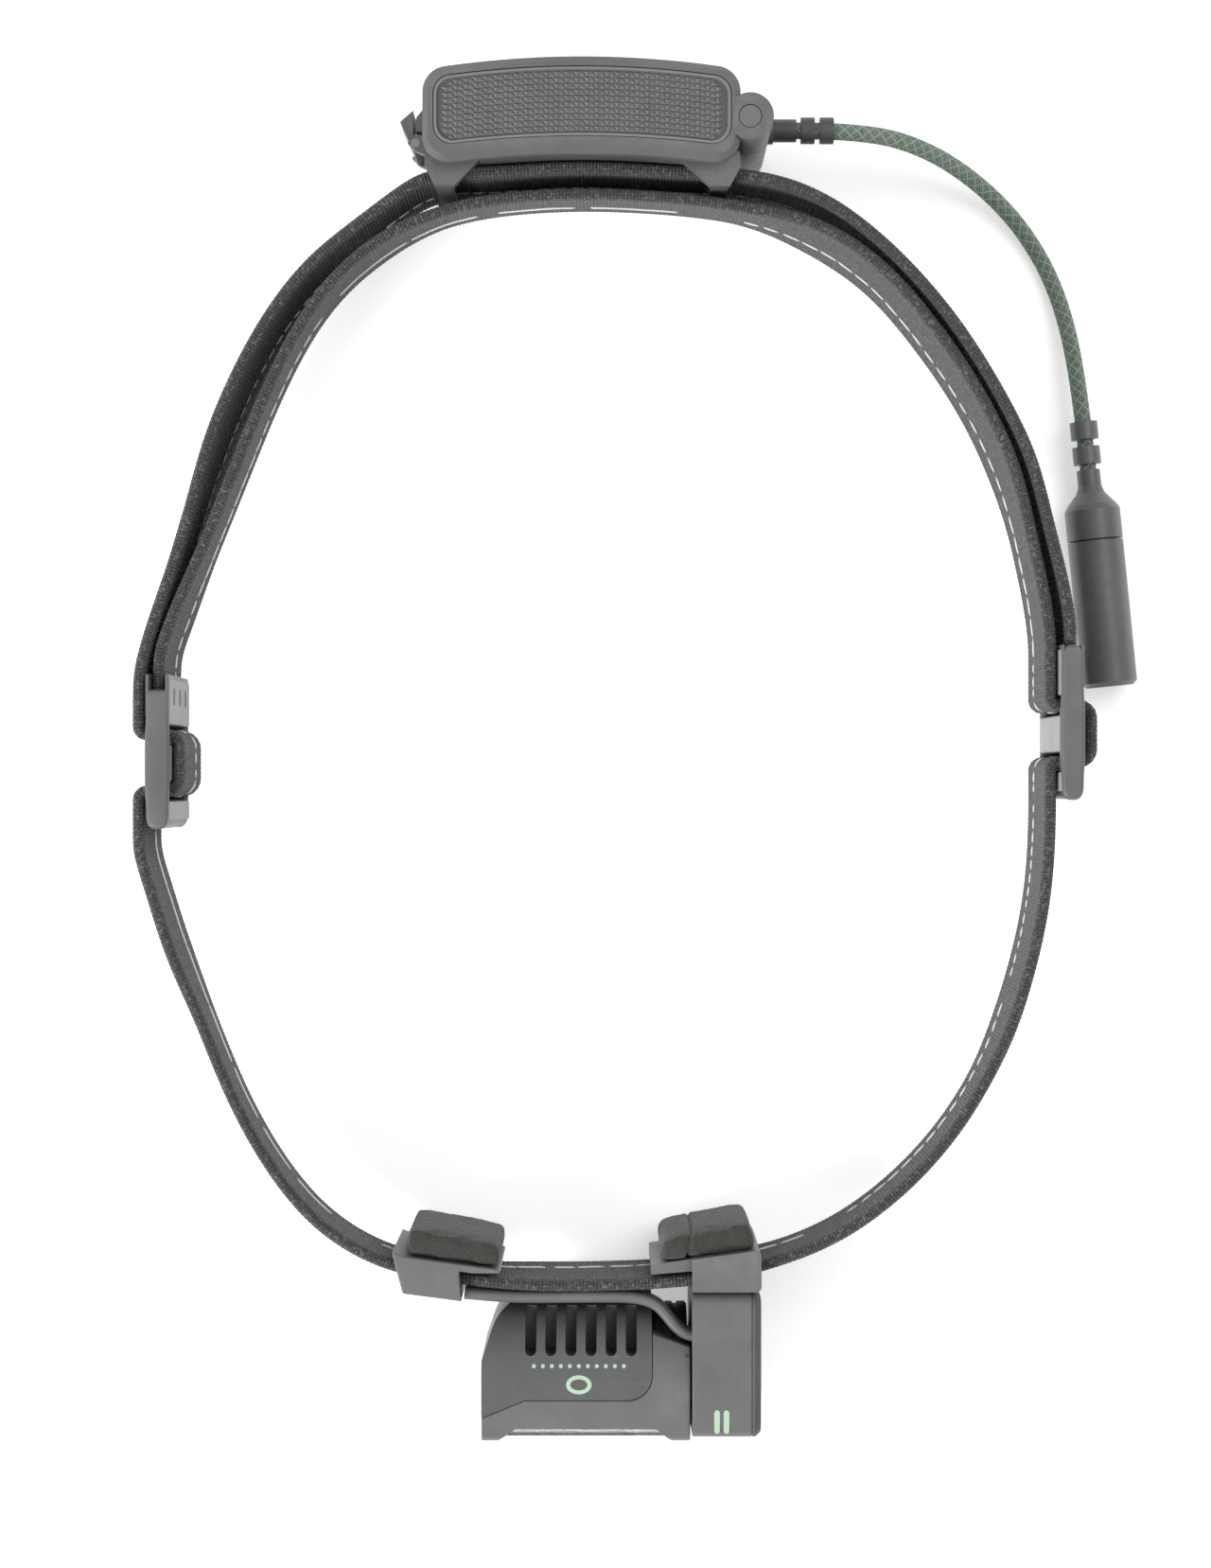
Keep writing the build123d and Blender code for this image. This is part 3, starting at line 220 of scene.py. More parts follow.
def metal(name, color, rough=0.3):
    """Turned or stamped metal with fine scratches and duller patches."""
    g = Graph(name)
    patches = g.noise(300.0, 4.0)
    scratch = g.noise(2500.0, 2.0, 0.7)
    base = g.mix(g.span(patches, 0.3, 0.7), tuple(c * 0.8 for c in color), color)
    gloss = g.span(scratch, 0.3, 0.7, rough - 0.08, rough + 0.12)
    return g.finish(Base_Color=base, Metallic=1.0, Roughness=gloss, Normal=g.bump(scratch, 0.00001))


def thread(name, color):
    """Pale twisted yarn."""
    g = Graph(name)
    twist = g.noise(4200.0, 2.0)
    base = g.mix(g.span(twist, 0.3, 0.7), tuple(c * 0.75 for c in color), color)
    return g.finish(Base_Color=base, Roughness=0.7, Normal=g.bump(twist, 0.00005), Sheen_Weight=0.3)


def braided(name, dark, mid, pale, shade):
    """Braided sleeve: crossing green carriers, dark flecks and a pale zigzag; the dips between carriers
    are painted darker green, as painted shade.
    """
    g = Graph(name)
    along, around = g.uv()
    one = g.wave(g.math("ADD", along, around), 0.61)
    two = g.wave(g.math("SUBTRACT", along, around), 0.61)
    over = g.math("MAXIMUM", one, two)
    cross = g.wave(along, 0.62)
    # Darker green where the carriers dip: painted shade between them.
    base = g.mix(g.span(over, -0.1, 0.95), dark, mid)
    base = g.mix(g.math("MULTIPLY", g.span(g.noise(2300.0, 2.0), 0.56, 0.7), 0.7), base, shade)
    there, back = g.math("PINGPONG", along, 1.1), g.math("PINGPONG", around, 1.1)
    zigzag = g.math("ABSOLUTE", g.math("SUBTRACT", there, back))
    base = g.mix(g.math("MULTIPLY", g.span(zigzag, 0.22, 0.06), 0.55), base, pale)
    height = g.math("MULTIPLY_ADD", cross, 0.2, over)
    normal = g.bump(height, 0.00009)
    normal = g.bump(g.noise(4200.0, 3.0, 0.7), 0.00006, normal=normal)
    return g.finish(Base_Color=base, Roughness=0.85, Normal=normal, Sheen_Weight=0.3)


def clear(name, tint):
    """Clear moulded polycarbonate with faint flow marks."""
    g = Graph(name)
    flow = g.noise(220.0, 3.0)
    g.finish(Base_Color=tint, Transmission_Weight=1.0, IOR=1.53)
    return g.finish(Roughness=g.span(flow, 0.3, 0.7, 0.03, 0.08), Normal=g.bump(flow, 0.00004))


def board(name):
    """Solder-masked circuit board with copper tracks showing through the mask."""
    g = Graph(name)
    cells = g.node("TexVoronoi", {"feature": "DISTANCE_TO_EDGE"}, Scale=900.0, Vector=g.place())
    track = g.span(cells.outputs[0], 0.04, 0.07)
    base = g.mix(track, (0.02, 0.11, 0.06), (0.012, 0.06, 0.035))
    return g.finish(Base_Color=base, Roughness=0.35, Normal=g.bump(track, 0.00004), Coat_Weight=0.4)


GRAY = plastic("shell_gray", (0.104, 0.104, 0.106), 0.44)
LAMP_DARK = plastic("lamp_gray", (0.076, 0.076, 0.078), 0.42)
PACK_GRAY = plastic("pack_gray", (0.094, 0.095, 0.097), 0.46)
GRIP_GRAY = plastic("grip_rubber", (0.150, 0.151, 0.153), 0.55, 0.5, 0.12, 0.05)
# Darker copy of the grip rubber for the floor between the studs: painted shade in the hollows.
GRIP_FLOOR_SHADE = plastic("grip_hollows_painted_shade", (0.060, 0.061, 0.062), 0.65, 0.5, 0.0, 0.05)
RUBBER = plastic("soft_rubber", (0.066, 0.067, 0.069), 0.6, 1.5, 0.08)
PLUG_DARK = plastic("plug_rubber", (0.104, 0.105, 0.107), 0.34, 0.8, 0.10)
BOOT_DARK = plastic("boot_rubber", (0.058, 0.056, 0.053), 0.5, 1.2, 0.10)
RING_GRAY = plastic("pin_gray", (0.115, 0.112, 0.108), 0.5, 1.2)
SLIDER_GRAY = plastic("slider_gray", (0.098, 0.099, 0.101), 0.38, 0.6)
SLIDER_PALE = plastic("slider_pale", (0.27, 0.275, 0.28), 0.55, 1.3)
BLACK = plastic("dark_plastic", (0.03, 0.03, 0.032), 0.5)
KNIT = knit("knit", (0.011, 0.011, 0.0115), (0.049, 0.049, 0.050), (0.175, 0.175, 0.175))
FOAM = foam("pad_foam", (0.042, 0.041, 0.037), (0.11, 0.107, 0.098))
STEEL = metal("steel", (0.42, 0.42, 0.43), 0.32)
GILT = metal("contact_metal", (0.80, 0.62, 0.30), 0.25)
MIRROR = metal("mirror_coat", (0.78, 0.78, 0.80), 0.09)
CELL = metal("cell_jacket", (0.45, 0.46, 0.48), 0.35)
YARN = thread("pale_thread", (0.80, 0.80, 0.78))
MARK = plastic("pale_green_print", (0.36, 0.50, 0.37), 0.6, 0.6, 0.0, 0.05)
BRAID = braided(
    "braid", (0.060, 0.085, 0.064), (0.225, 0.315, 0.235), (0.52, 0.60, 0.53), (0.03, 0.037, 0.03),
)
CLEAR = clear("clear_lens", (0.95, 0.97, 0.97))
BOARD = board("circuit")
PHOSPHOR = plastic("phosphor", (0.80, 0.62, 0.16), 0.35, 0.8, 0.0)


def dress(obj, *materials):
    """Give an object these materials, in slot order; painted faces keep their slots."""
    if obj.data.materials:
        obj.data.materials.clear()
    for material in materials:
        obj.data.materials.append(material)
    return obj


def fit(obj, body, slot, *nodes):
    """Ride on a body and stand for CAD nodes; the slot argument is not used."""
    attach(obj, body)
    if nodes:
        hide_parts(*nodes)
    return obj


# ---- paths in plan, in millimetres --------------------------------------------------------
SPLINE_STEP = 0.5
ARC_STEPS = 10


def natural_spline(points):
    """Smooth curve through the points, with distance along the chords as its parameter."""
    p = np.array(points, dtype=float)
    chord = np.linalg.norm(np.diff(p, axis=0), axis=1)
    t = np.concatenate([[0], np.cumsum(chord)])
    n = len(p)
    matrix = np.zeros((n, n))
    right = np.zeros((n, 2))
    matrix[0, 0] = matrix[-1, -1] = 1
    for i in range(1, n - 1):
        matrix[i, i - 1] = chord[i - 1]
        matrix[i, i] = 2 * (chord[i - 1] + chord[i])
        matrix[i, i + 1] = chord[i]
        right[i] = 6 * ((p[i + 1] - p[i]) / chord[i] - (p[i] - p[i - 1]) / chord[i - 1])
    bend = np.linalg.solve(matrix, right)
    s = np.arange(0, t[-1], SPLINE_STEP)
    k = np.clip(np.searchsorted(t, s, side="right") - 1, 0, n - 2)
    h, a, b = chord[k][:, None], (t[k + 1] - s)[:, None], (s - t[k])[:, None]
    curve = bend[k] * a**3 / (6 * h) + bend[k + 1] * b**3 / (6 * h)
    curve += (p[k] / h - bend[k] * h / 6) * a + (p[k + 1] / h - bend[k + 1] * h / 6) * b
    return np.vstack([curve, p[-1]])


def rounded_polyline(points, radii):
    """Corners turned into arcs, each with its own radius."""
    p = [np.array(q, dtype=float) for q in points]
    out = [p[0]]
    for before, corner, after, radius in zip(p, p[1:], p[2:], radii):
        u = (before - corner) / np.linalg.norm(before - corner)
        v = (after - corner) / np.linalg.norm(after - corner)
        half = math.acos(np.clip(u @ v, -1, 1)) / 2
        reach = radius / math.tan(half)
        middle = corner + (u + v) / np.linalg.norm(u + v) * radius / math.sin(half)
        start, end = corner + u * reach - middle, corner + v * reach - middle
        turn = math.atan2(start[0] * end[1] - start[1] * end[0], start @ end)
        for i in range(ARC_STEPS + 1):
            angle = turn * i / ARC_STEPS
            c, s = math.cos(angle), math.sin(angle)
            out.append(middle + (c * start[0] - s * start[1], s * start[0] + c * start[1]))
    return np.array(out + [p[-1]])


def evenly(points, step):
    """The same curve with points a fixed distance apart, and their distances."""
    p = np.array(points, dtype=float)
    gap = np.linalg.norm(np.diff(p, axis=0), axis=1)
    p = p[np.concatenate([[True], gap > 1e-6])]
    t = np.concatenate([[0], np.cumsum(np.linalg.norm(np.diff(p, axis=0), axis=1))])
    s = np.linspace(0, t[-1], int(t[-1] / step) + 1)
    return np.stack([np.interp(s, t, p[:, i]) for i in range(p.shape[1])], axis=1), s


def side_vectors(p):
    """Unit vectors to the left of travel along a plan curve."""
    d = np.gradient(p, axis=0)
    d /= np.linalg.norm(d, axis=1)[:, None]
    return np.stack([-d[:, 1], d[:, 0]], axis=1)


def strip_quads(rows, n):
    """Quads that join closed outlines of n points, one outline after another."""
    quads = []
    for i in range(rows - 1):
        for k in range(n):
            m = (k + 1) % n
            quads.append((i * n + k, (i + 1) * n + k, (i + 1) * n + m, i * n + m))
    return quads


# ---- free cord: its line, then a braided sleeve on it -------------------------------------
CORD_R = 1.55
CORD_ROUTE = [
    (0.0335, 0.1151, 0.0180), (0.0464, 0.1151, 0.0180), (0.0589, 0.1129, 0.0112),
    (0.0701, 0.1071, 0.0039), (0.0786, 0.0984, 0.0016), (0.0846, 0.0868, 0.0016),
    (0.0877, 0.0705, 0.00525), (0.0894, 0.0536, 0.00525),
]

line_data = bpy.data.curves.new("cord_line", "CURVE")
line_data.dimensions = "3D"
line_data.resolution_u = 48
spline = line_data.splines.new("NURBS")
spline.points.add(len(CORD_ROUTE) - 1)
for point, place in zip(spline.points, CORD_ROUTE):
    point.co = (*place, 1)
spline.order_u = 3
spline.use_endpoint_u = True
line_object = add_object("cord_line", line_data)
bpy.context.view_layer.update()
line_graph = bpy.context.evaluated_depsgraph_get()
line_mesh = bpy.data.meshes.new_from_object(line_object.evaluated_get(line_graph))
cord_line = np.array([tuple(v.co) for v in line_mesh.vertices]) / MM
bpy.data.objects.remove(line_object)
bpy.data.meshes.remove(line_mesh)


def tube(name, centre, profile, around):
    """Closed tube round a space curve; profile(distance, angle) gives the radius. UVs in millimetres."""
    d = np.gradient(centre, axis=0)
    d /= np.linalg.norm(d, axis=1)[:, None]
    up = np.array([0.0, 0.0, 1.0])
    s = np.concatenate([[0], np.cumsum(np.linalg.norm(np.diff(centre, axis=0), axis=1))])
    verts, uvs, faces = [], [], []
    for i, (point, direction) in enumerate(zip(centre, d)):
        side = np.cross(up, direction)
        side /= np.linalg.norm(side)
        over = np.cross(direction, side)
        for k in range(around + 1):
            angle = 2 * math.pi * k / around
            r = profile(s[i], angle)
            verts.append(point + side * r * math.cos(angle) + over * r * math.sin(angle))
            uvs.append((s[i], angle * CORD_R))
    row = around + 1
    for i in range(len(centre) - 1):
        for k in range(around):
            faces.append((i * row + k, i * row + k + 1, (i + 1) * row + k + 1, (i + 1) * row + k))
    faces.append(tuple(range(around - 1, -1, -1)))
    last = (len(centre) - 1) * row
    faces.append(tuple(last + k for k in range(around)))
    obj = mesh_object(name, verts, faces, uvs)
    bm = bmesh.new()
    bm.from_mesh(obj.data)
    bmesh.ops.remove_doubles(bm, verts=bm.verts, dist=1e-7)
    bmesh.ops.recalc_face_normals(bm, faces=bm.faces)
    bm.to_mesh(obj.data)
    bm.free()
    return obj


CARRIERS, CARRIER_TWIST = 10, 6.6
BRAID_DEPTH = 0.07


def braid_radius(distance, angle):
    """Radius of the sleeve where carriers of both hands cross."""
    one = math.sin(CARRIERS * angle + distance * CARRIER_TWIST)
    two = math.sin(CARRIERS * angle - distance * CARRIER_TWIST)
    return CORD_R - BRAID_DEPTH + BRAID_DEPTH * max(one, two)


cord_fine, _ = evenly(cord_line, 0.2)
cord = dress(tube("braided_cord", cord_fine, braid_radius, 48), BRAID)
fit(cord, ROOT, "braid", "battery_cord")


# ---- knitted webbing ----------------------------------------------------------------------
BAND_FOOT, BAND_HEAD = 7.5, 32.5
BAND_HALF = 1.1
SIDE_OUT, SIDE_IN = 86.1, 78.7
SEWN_X = 82.4
WEAVE_REACH = 5.1
RIGHT_BAR, LEFT_BAR = 3.5, -1.8

FRONT_POINTS = [
    (-86.1, -14.0), (-86.0, -17.2), (-84.7, -22.5), (-80.7, -35.0), (-75.4, -48.5),
    (-69.8, -62.0), (-62.6, -75.0), (-54.0, -85.2), (-43.0, -92.0), (-33.5, -94.6),
    (-20.0, -96.0), (0.0, -96.1), (14.0, -95.2), (29.0, -92.2), (39.0, -88.3),
    (49.2, -81.6), (61.9, -68.2), (69.6, -54.8), (74.4, -41.3), (77.4, -28.0),
    (78.6, -14.5), (SIDE_IN, RIGHT_BAR - 13.0),
]
INNER_POINTS = [
    (-82.4, 14.4), (-82.2, 17.6), (-80.8, 22.5), (-77.3, 31.5), (-72.4, 43.6), (-67.1, 56.8),
    (-60.9, 71.0), (-52.2, 84.8), (-43.6, 92.6), (-30.0, 99.2), (-18.0, 101.3), (-5.5, 101.9),
    (8.0, 101.4), (21.0, 99.9), (36.0, 95.4), (49.6, 86.0), (56.3, 78.3), (66.0, 64.0),
    (72.4, 49.8), (76.3, 35.0), (78.1, 25.5), (78.65, 20.0), (78.7, 16.7),
]
OUTER_POINTS = [
    (-86.1, 10.2), (-86.0, 13.2), (-84.6, 20.0), (-80.0, 33.8), (-76.1, 46.8), (-71.5, 60.2),
    (-65.1, 73.8), (-55.6, 87.2), (-46.9, 95.1), (-39.6, 100.8), (-34.4, 103.8),
    (-24.0, 105.0), (-6.0, 105.8), (12.0, 105.0), (25.0, 104.2), (33.5, 102.0), (44.4, 95.6),
    (53.2, 87.0), (59.2, 80.0), (68.0, 66.8), (75.0, 52.6), (79.0, 39.2), (81.4, 29.0),
    (82.3, 22.9), (82.4, 19.7),
]


def weave_round(side, bar, over, under, far, near):
    """Way of the webbing over a slider's middle bar, from low Y to high Y."""
    corners = [
        (side * under, bar - near), (side * under, bar - WEAVE_REACH), (side * over, bar - WEAVE_REACH),
        (side * over, bar + WEAVE_REACH), (side * under, bar + WEAVE_REACH), (side * under, bar + far),
    ]
    return rounded_polyline(corners, (1.5, 2.3, 2.3, 1.5))


inner_path = np.vstack([[(-SEWN_X, 6.5)], natural_spline(INNER_POINTS)])
right_path = weave_round(1, RIGHT_BAR, SIDE_OUT, SIDE_IN, 12.9, 12.8)[::-1]
front_path = natural_spline(FRONT_POINTS)[::-1]
left_path = weave_round(-1, LEFT_BAR, SIDE_IN, SIDE_OUT, 11.8, 11.9)
outer_path = np.vstack([natural_spline(OUTER_POINTS), [(SEWN_X, 11.8)]])
BAND_PARTS = [inner_path, right_path, front_path, left_path, outer_path]


def run_length(path):
    """Length of a plan path in millimetres."""
    return float(np.linalg.norm(np.diff(path, axis=0), axis=1).sum())


inner_end = run_length(inner_path)
front_start = run_length(np.vstack(BAND_PARTS[:2]))
front_end = run_length(np.vstack(BAND_PARTS[:3]))
outer_start = run_length(np.vstack(BAND_PARTS[:4]))
band_end = run_length(np.vstack(BAND_PARTS))


def band_section():
    """Closed outline (sideways, height) of the webbing with its rolled edges; distances around."""
    half_height = (BAND_HEAD - BAND_FOOT) / 2
    outline = []
    for k in range(12):
        angle = math.pi * k / 11
        rise = half_height - BAND_HALF + BAND_HALF * math.sin(angle)
        outline.append((BAND_HALF * math.cos(angle), rise))
    heights = np.linspace(half_height - BAND_HALF, -half_height + BAND_HALF, 22)[1:-1]

    def waist(z):
        edge = half_height - abs(z)
        return BAND_HALF - 0.16 * (1 - math.exp(-((edge - 1.6) / 1.4) ** 2)) * (edge > 1.6)

    left = [(-waist(z), z) for z in heights]
    bottom = [(-x, -z) for x, z in outline]
    right = [(waist(z), -z) for z in heights]
    return np.array(outline + left + bottom + right)


SECTION = band_section()
LEAN_EASE = 18.0
KNIT_STEP = 0.21
RIB_PITCH, RIB_DEPTH = 0.84, 0.035
YARN_Z = 16.0
YARN_WIDE, YARN_TALL = 0.20, 0.24


def lean_along(distance, spans):
    """Lean of the webbing, in millimetres at its upper edge, as distance goes along it."""
    lean = 0.0
    for start, end, amount in spans:
        rise = np.clip((distance - start) / LEAN_EASE, 0, 1)
        fall = np.clip((end - distance) / LEAN_EASE, 0, 1)
        weight = min(rise, fall)
        lean += amount * weight * weight * (3 - 2 * weight)
    return lean


def webbing(name, path, spans):
    """Webbing on edge along a plan path, with knitted ribs in its surface."""
    p, s = evenly(path, KNIT_STEP)
    side = side_vectors(p)
    around = np.concatenate([[0], np.cumsum(np.linalg.norm(np.diff(SECTION, axis=0), axis=1))])
    middle = (BAND_FOOT + BAND_HEAD) / 2
    half = (BAND_HEAD - BAND_FOOT) / 2
    verts, uvs = [], []
    for i in range(len(p)):
        lean = lean_along(s[i], spans)
        rib = RIB_DEPTH * math.sin(2 * math.pi * s[i] / RIB_PITCH)
        swell = 0.05 * math.sin(s[i] / 7.3) * math.sin(s[i] / 2.9)
        for (x, z), distance in zip(SECTION, around):
            edge = abs(z) / half
            ripple = rib * (0.5 + 0.5 * edge) + 0.02 * math.sin(2 * math.pi * distance / 1.1)
            out = 1 + ripple / BAND_HALF - 0.05
            sideways = x * out + lean * z / half
            rise = z * (1 - 0.004) + swell * edge**4 * 0.5
            q = p[i] + side[i] * sideways
            verts.append((q[0], q[1], middle + rise - 0.05))
            uvs.append((s[i], distance))
    n = len(SECTION)
    faces = strip_quads(len(p), n)
    faces.append(tuple(range(n)))
    faces.append(tuple((len(p) - 1) * n + k for k in reversed(range(n))))
    return dress(mesh_object(name, verts, faces, uvs), KNIT), p, s, side


def stitches(name, p, s, side, dashes, spans):
    """Pale yarn laid in dashes on the webbing's right face, along its travel."""
    verts, faces = [], []
    middle, half = (BAND_FOOT + BAND_HEAD) / 2, (BAND_HEAD - BAND_FOOT) / 2
    ring = 8
    for start, end in dashes:
        stations = np.arange(start, end, 0.5)
        if len(stations) < 3:
            continue
        base = len(verts)
        for j, distance in enumerate(stations):
            i = min(int(np.searchsorted(s, distance)), len(p) - 1)
            z = YARN_Z + 0.35 * math.sin(distance / 9.0) + 0.12 * math.sin(distance / 1.7)
            lean = lean_along(distance, spans) * (z - middle) / half
            taper = min(1.0, 0.35 + min(j, len(stations) - 1 - j) * 0.5)
            centre = p[i] + side[i] * (lean - (BAND_HALF - 0.12))
            for k in range(ring):
                angle = 2 * math.pi * k / ring
                q = centre - side[i] * YARN_WIDE * taper * math.cos(angle)
                verts.append((q[0], q[1], z + YARN_TALL * taper * math.sin(angle)))
        for j in range(len(stations) - 1):
            for k in range(ring):
                a, b = base + j * ring + k, base + j * ring + (k + 1) % ring
                faces.append((a, a + ring, b + ring, b))
        faces.append(tuple(base + k for k in range(ring)))
        faces.append(tuple(base + (len(stations) - 1) * ring + k for k in reversed(range(ring))))
    return dress(mesh_object(name, verts, faces), YARN)


def run_of_dashes(start, length, first, last, dash, gap):
    """Dashes of one size between two shares of a stretch that begins at a distance."""
    out, at = [], start + first * length
    while at + dash < start + last * length:
        out.append((at, at + dash * (1 + 0.12 * math.sin(at * 1.7))))
        at += dash + gap
    return out


front_run = front_end - front_start
outer_run = band_end - outer_start
BAND_LEAN = (
    (0.06 * inner_end, 0.40 * inner_end, -0.5), (0.34 * inner_end, 0.66 * inner_end, -1.0),
    (0.62 * inner_end, 0.92 * inner_end, 0.5),
    (front_start + 0.14 * front_run, front_start + 0.44 * front_run, -0.4),
    (front_start + 0.54 * front_run, front_start + 0.92 * front_run, -0.5),
    (outer_start + 0.12 * outer_run, outer_start + 0.36 * outer_run, 0.5),
    (outer_start + 0.66 * outer_run, outer_start + 0.9 * outer_run, 0.5),
)
inner_dashes = run_of_dashes(0.0, inner_end, 0.02, 0.30, 3.2, 0.4)
inner_dashes += run_of_dashes(0.0, inner_end, 0.315, 0.60, 15.0, 2.2)
inner_dashes += run_of_dashes(0.0, inner_end, 0.61, 1.0, 3.4, 0.5)
front_dashes = run_of_dashes(inner_end, front_start - inner_end, 0.0, 1.0, 1.9, 0.35)
front_dashes += run_of_dashes(front_start, front_run, 0.0, 0.13, 2.2, 0.35)
front_dashes += run_of_dashes(front_start, front_run, 0.14, 0.34, 3.0, 0.4)
front_dashes += run_of_dashes(front_start, front_run, 0.36, 0.68, 5.0, 0.45)
front_dashes += run_of_dashes(front_start, front_run, 0.70, 1.0, 11.0, 0.5)
outer_dashes = run_of_dashes(front_end, outer_start - front_end, 0.0, 1.0, 2.2, 0.35)
outer_dashes += run_of_dashes(outer_start, outer_run, 0.0, 0.985, 2.6, 0.45)

band, p, s, side = webbing("band_webbing", np.vstack(BAND_PARTS), BAND_LEAN)
fit(band, ROOT, "webbing", "front_webbing", "rear_webbing_inner", "rear_webbing_outer")
THREADS = {"rear_inner": inner_dashes, "front": front_dashes, "rear_outer": outer_dashes}
for name, dashes in THREADS.items():
    fit(stitches(name + "_thread", p, s, side, dashes, BAND_LEAN), ROOT, "webbing")


# ---- moulded pieces: the CAD shape with rolled edges --------------------------------------
ROLL_ANGLE = 30.0
ROLL_SEGMENTS = 3


def rolled(node, width, slot, body=ROOT, material=GRAY):
    """The node's own shape with every hard edge rounded over."""
    mesh = NODES[node].data.copy()
    mesh.name = node + "_rolled"
    if "custom_normal" in mesh.attributes:
        mesh.attributes.remove(mesh.attributes["custom_normal"])
    bm = bmesh.new()
    bm.from_mesh(mesh)
    bmesh.ops.remove_doubles(bm, verts=bm.verts, dist=2e-6)
    bmesh.ops.dissolve_limit(bm, angle_limit=math.radians(0.6), verts=bm.verts, edges=bm.edges)
    bmesh.ops.recalc_face_normals(bm, faces=bm.faces)
    for face in bm.faces:
        face.smooth = True
    bm.to_mesh(mesh)
    bm.free()
    obj = add_object(node + "_rolled", mesh)
    dress(obj, material)
    bevel = obj.modifiers.new("rolled_edges", "BEVEL")
    bevel.width = width * MM
    bevel.segments = ROLL_SEGMENTS
    bevel.limit_method = "ANGLE"
    bevel.angle_limit = math.radians(ROLL_ANGLE)
    bevel.use_clamp_overlap = True
    bevel.miter_outer = "MITER_ARC"
    bevel.harden_normals = True
    return fit(obj, body, slot, node)


class Mould:
    """Rounded blocks gathered into one piece, in millimetres."""

    def __init__(self):
        self.verts, self.faces, self.paint = [], [], []

    def block(self, low, high, radius, bulge=None, steps=9, paint=0):
        """Block with rounded edges; bulge(y) widens or narrows it sideways about its middle."""
        low, high = np.array(low, dtype=float), np.array(high, dtype=float)
        radius = min(radius, float((high - low).min()) / 2 - 1e-3)
        inner_low, inner_high = low + radius, high - radius
        middle = (low + high) / 2
        soft = [0, 0.3, 0.65, 1.0]
        lines = []
        for axis in range(3):
            ends = np.array(soft) * radius
            count = max(2, steps if high[axis] - low[axis] > 6 else 3)
            inside = np.linspace(inner_low[axis], inner_high[axis], count)[1:-1]
            lines.append(np.concatenate([low[axis] + ends, inside, (high[axis] - ends)[::-1]]))
        seen = {}

        def vertex(point):
            key = tuple(np.round(point, 5))
            if key not in seen:
                core = np.clip(point, inner_low, inner_high)
                away = point - core
                q = core + away / max(np.linalg.norm(away), 1e-9) * radius
                if bulge:
                    q[0] = middle[0] + (q[0] - middle[0]) * bulge(q[1])
                seen[key] = len(self.verts)
                self.verts.append(tuple(q))
            return seen[key]

        for axis in range(3):
            first, second = (axis + 1) % 3, (axis + 2) % 3
            for value, turned in ((low[axis], True), (high[axis], False)):
                for i in range(len(lines[first]) - 1):
                    for j in range(len(lines[second]) - 1):
                        corners = []
                        for di, dj in ((0, 0), (1, 0), (1, 1), (0, 1)):
                            point = np.zeros(3)
                            point[axis] = value
                            point[first] = lines[first][i + di]
                            point[second] = lines[second][j + dj]
                            corners.append(vertex(point))
                        self.faces.append(tuple(corners[::-1] if turned else corners))
                        self.paint.append(paint)

    def make(self, name, *materials):
        """The piece, with its blocks in their materials."""
        obj = mesh_object(name, self.verts, self.faces)
        obj.data.polygons.foreach_set("material_index", self.paint)
        return dress(obj, *materials)


SLIDER_FOOT, SLIDER_TOP = 5.5, 34.5
SLIDER_HALF = 2.3
RAIL = 1.75
BAR_HALF, SLOT = 3.5, 3.2
LONG_END, SHORT_END = 9.3, 5.3
POCKET_LIP = 2.8
END_ROUND = 2.2
UNDER = 0.3            # a block stops this far under the rails' faces


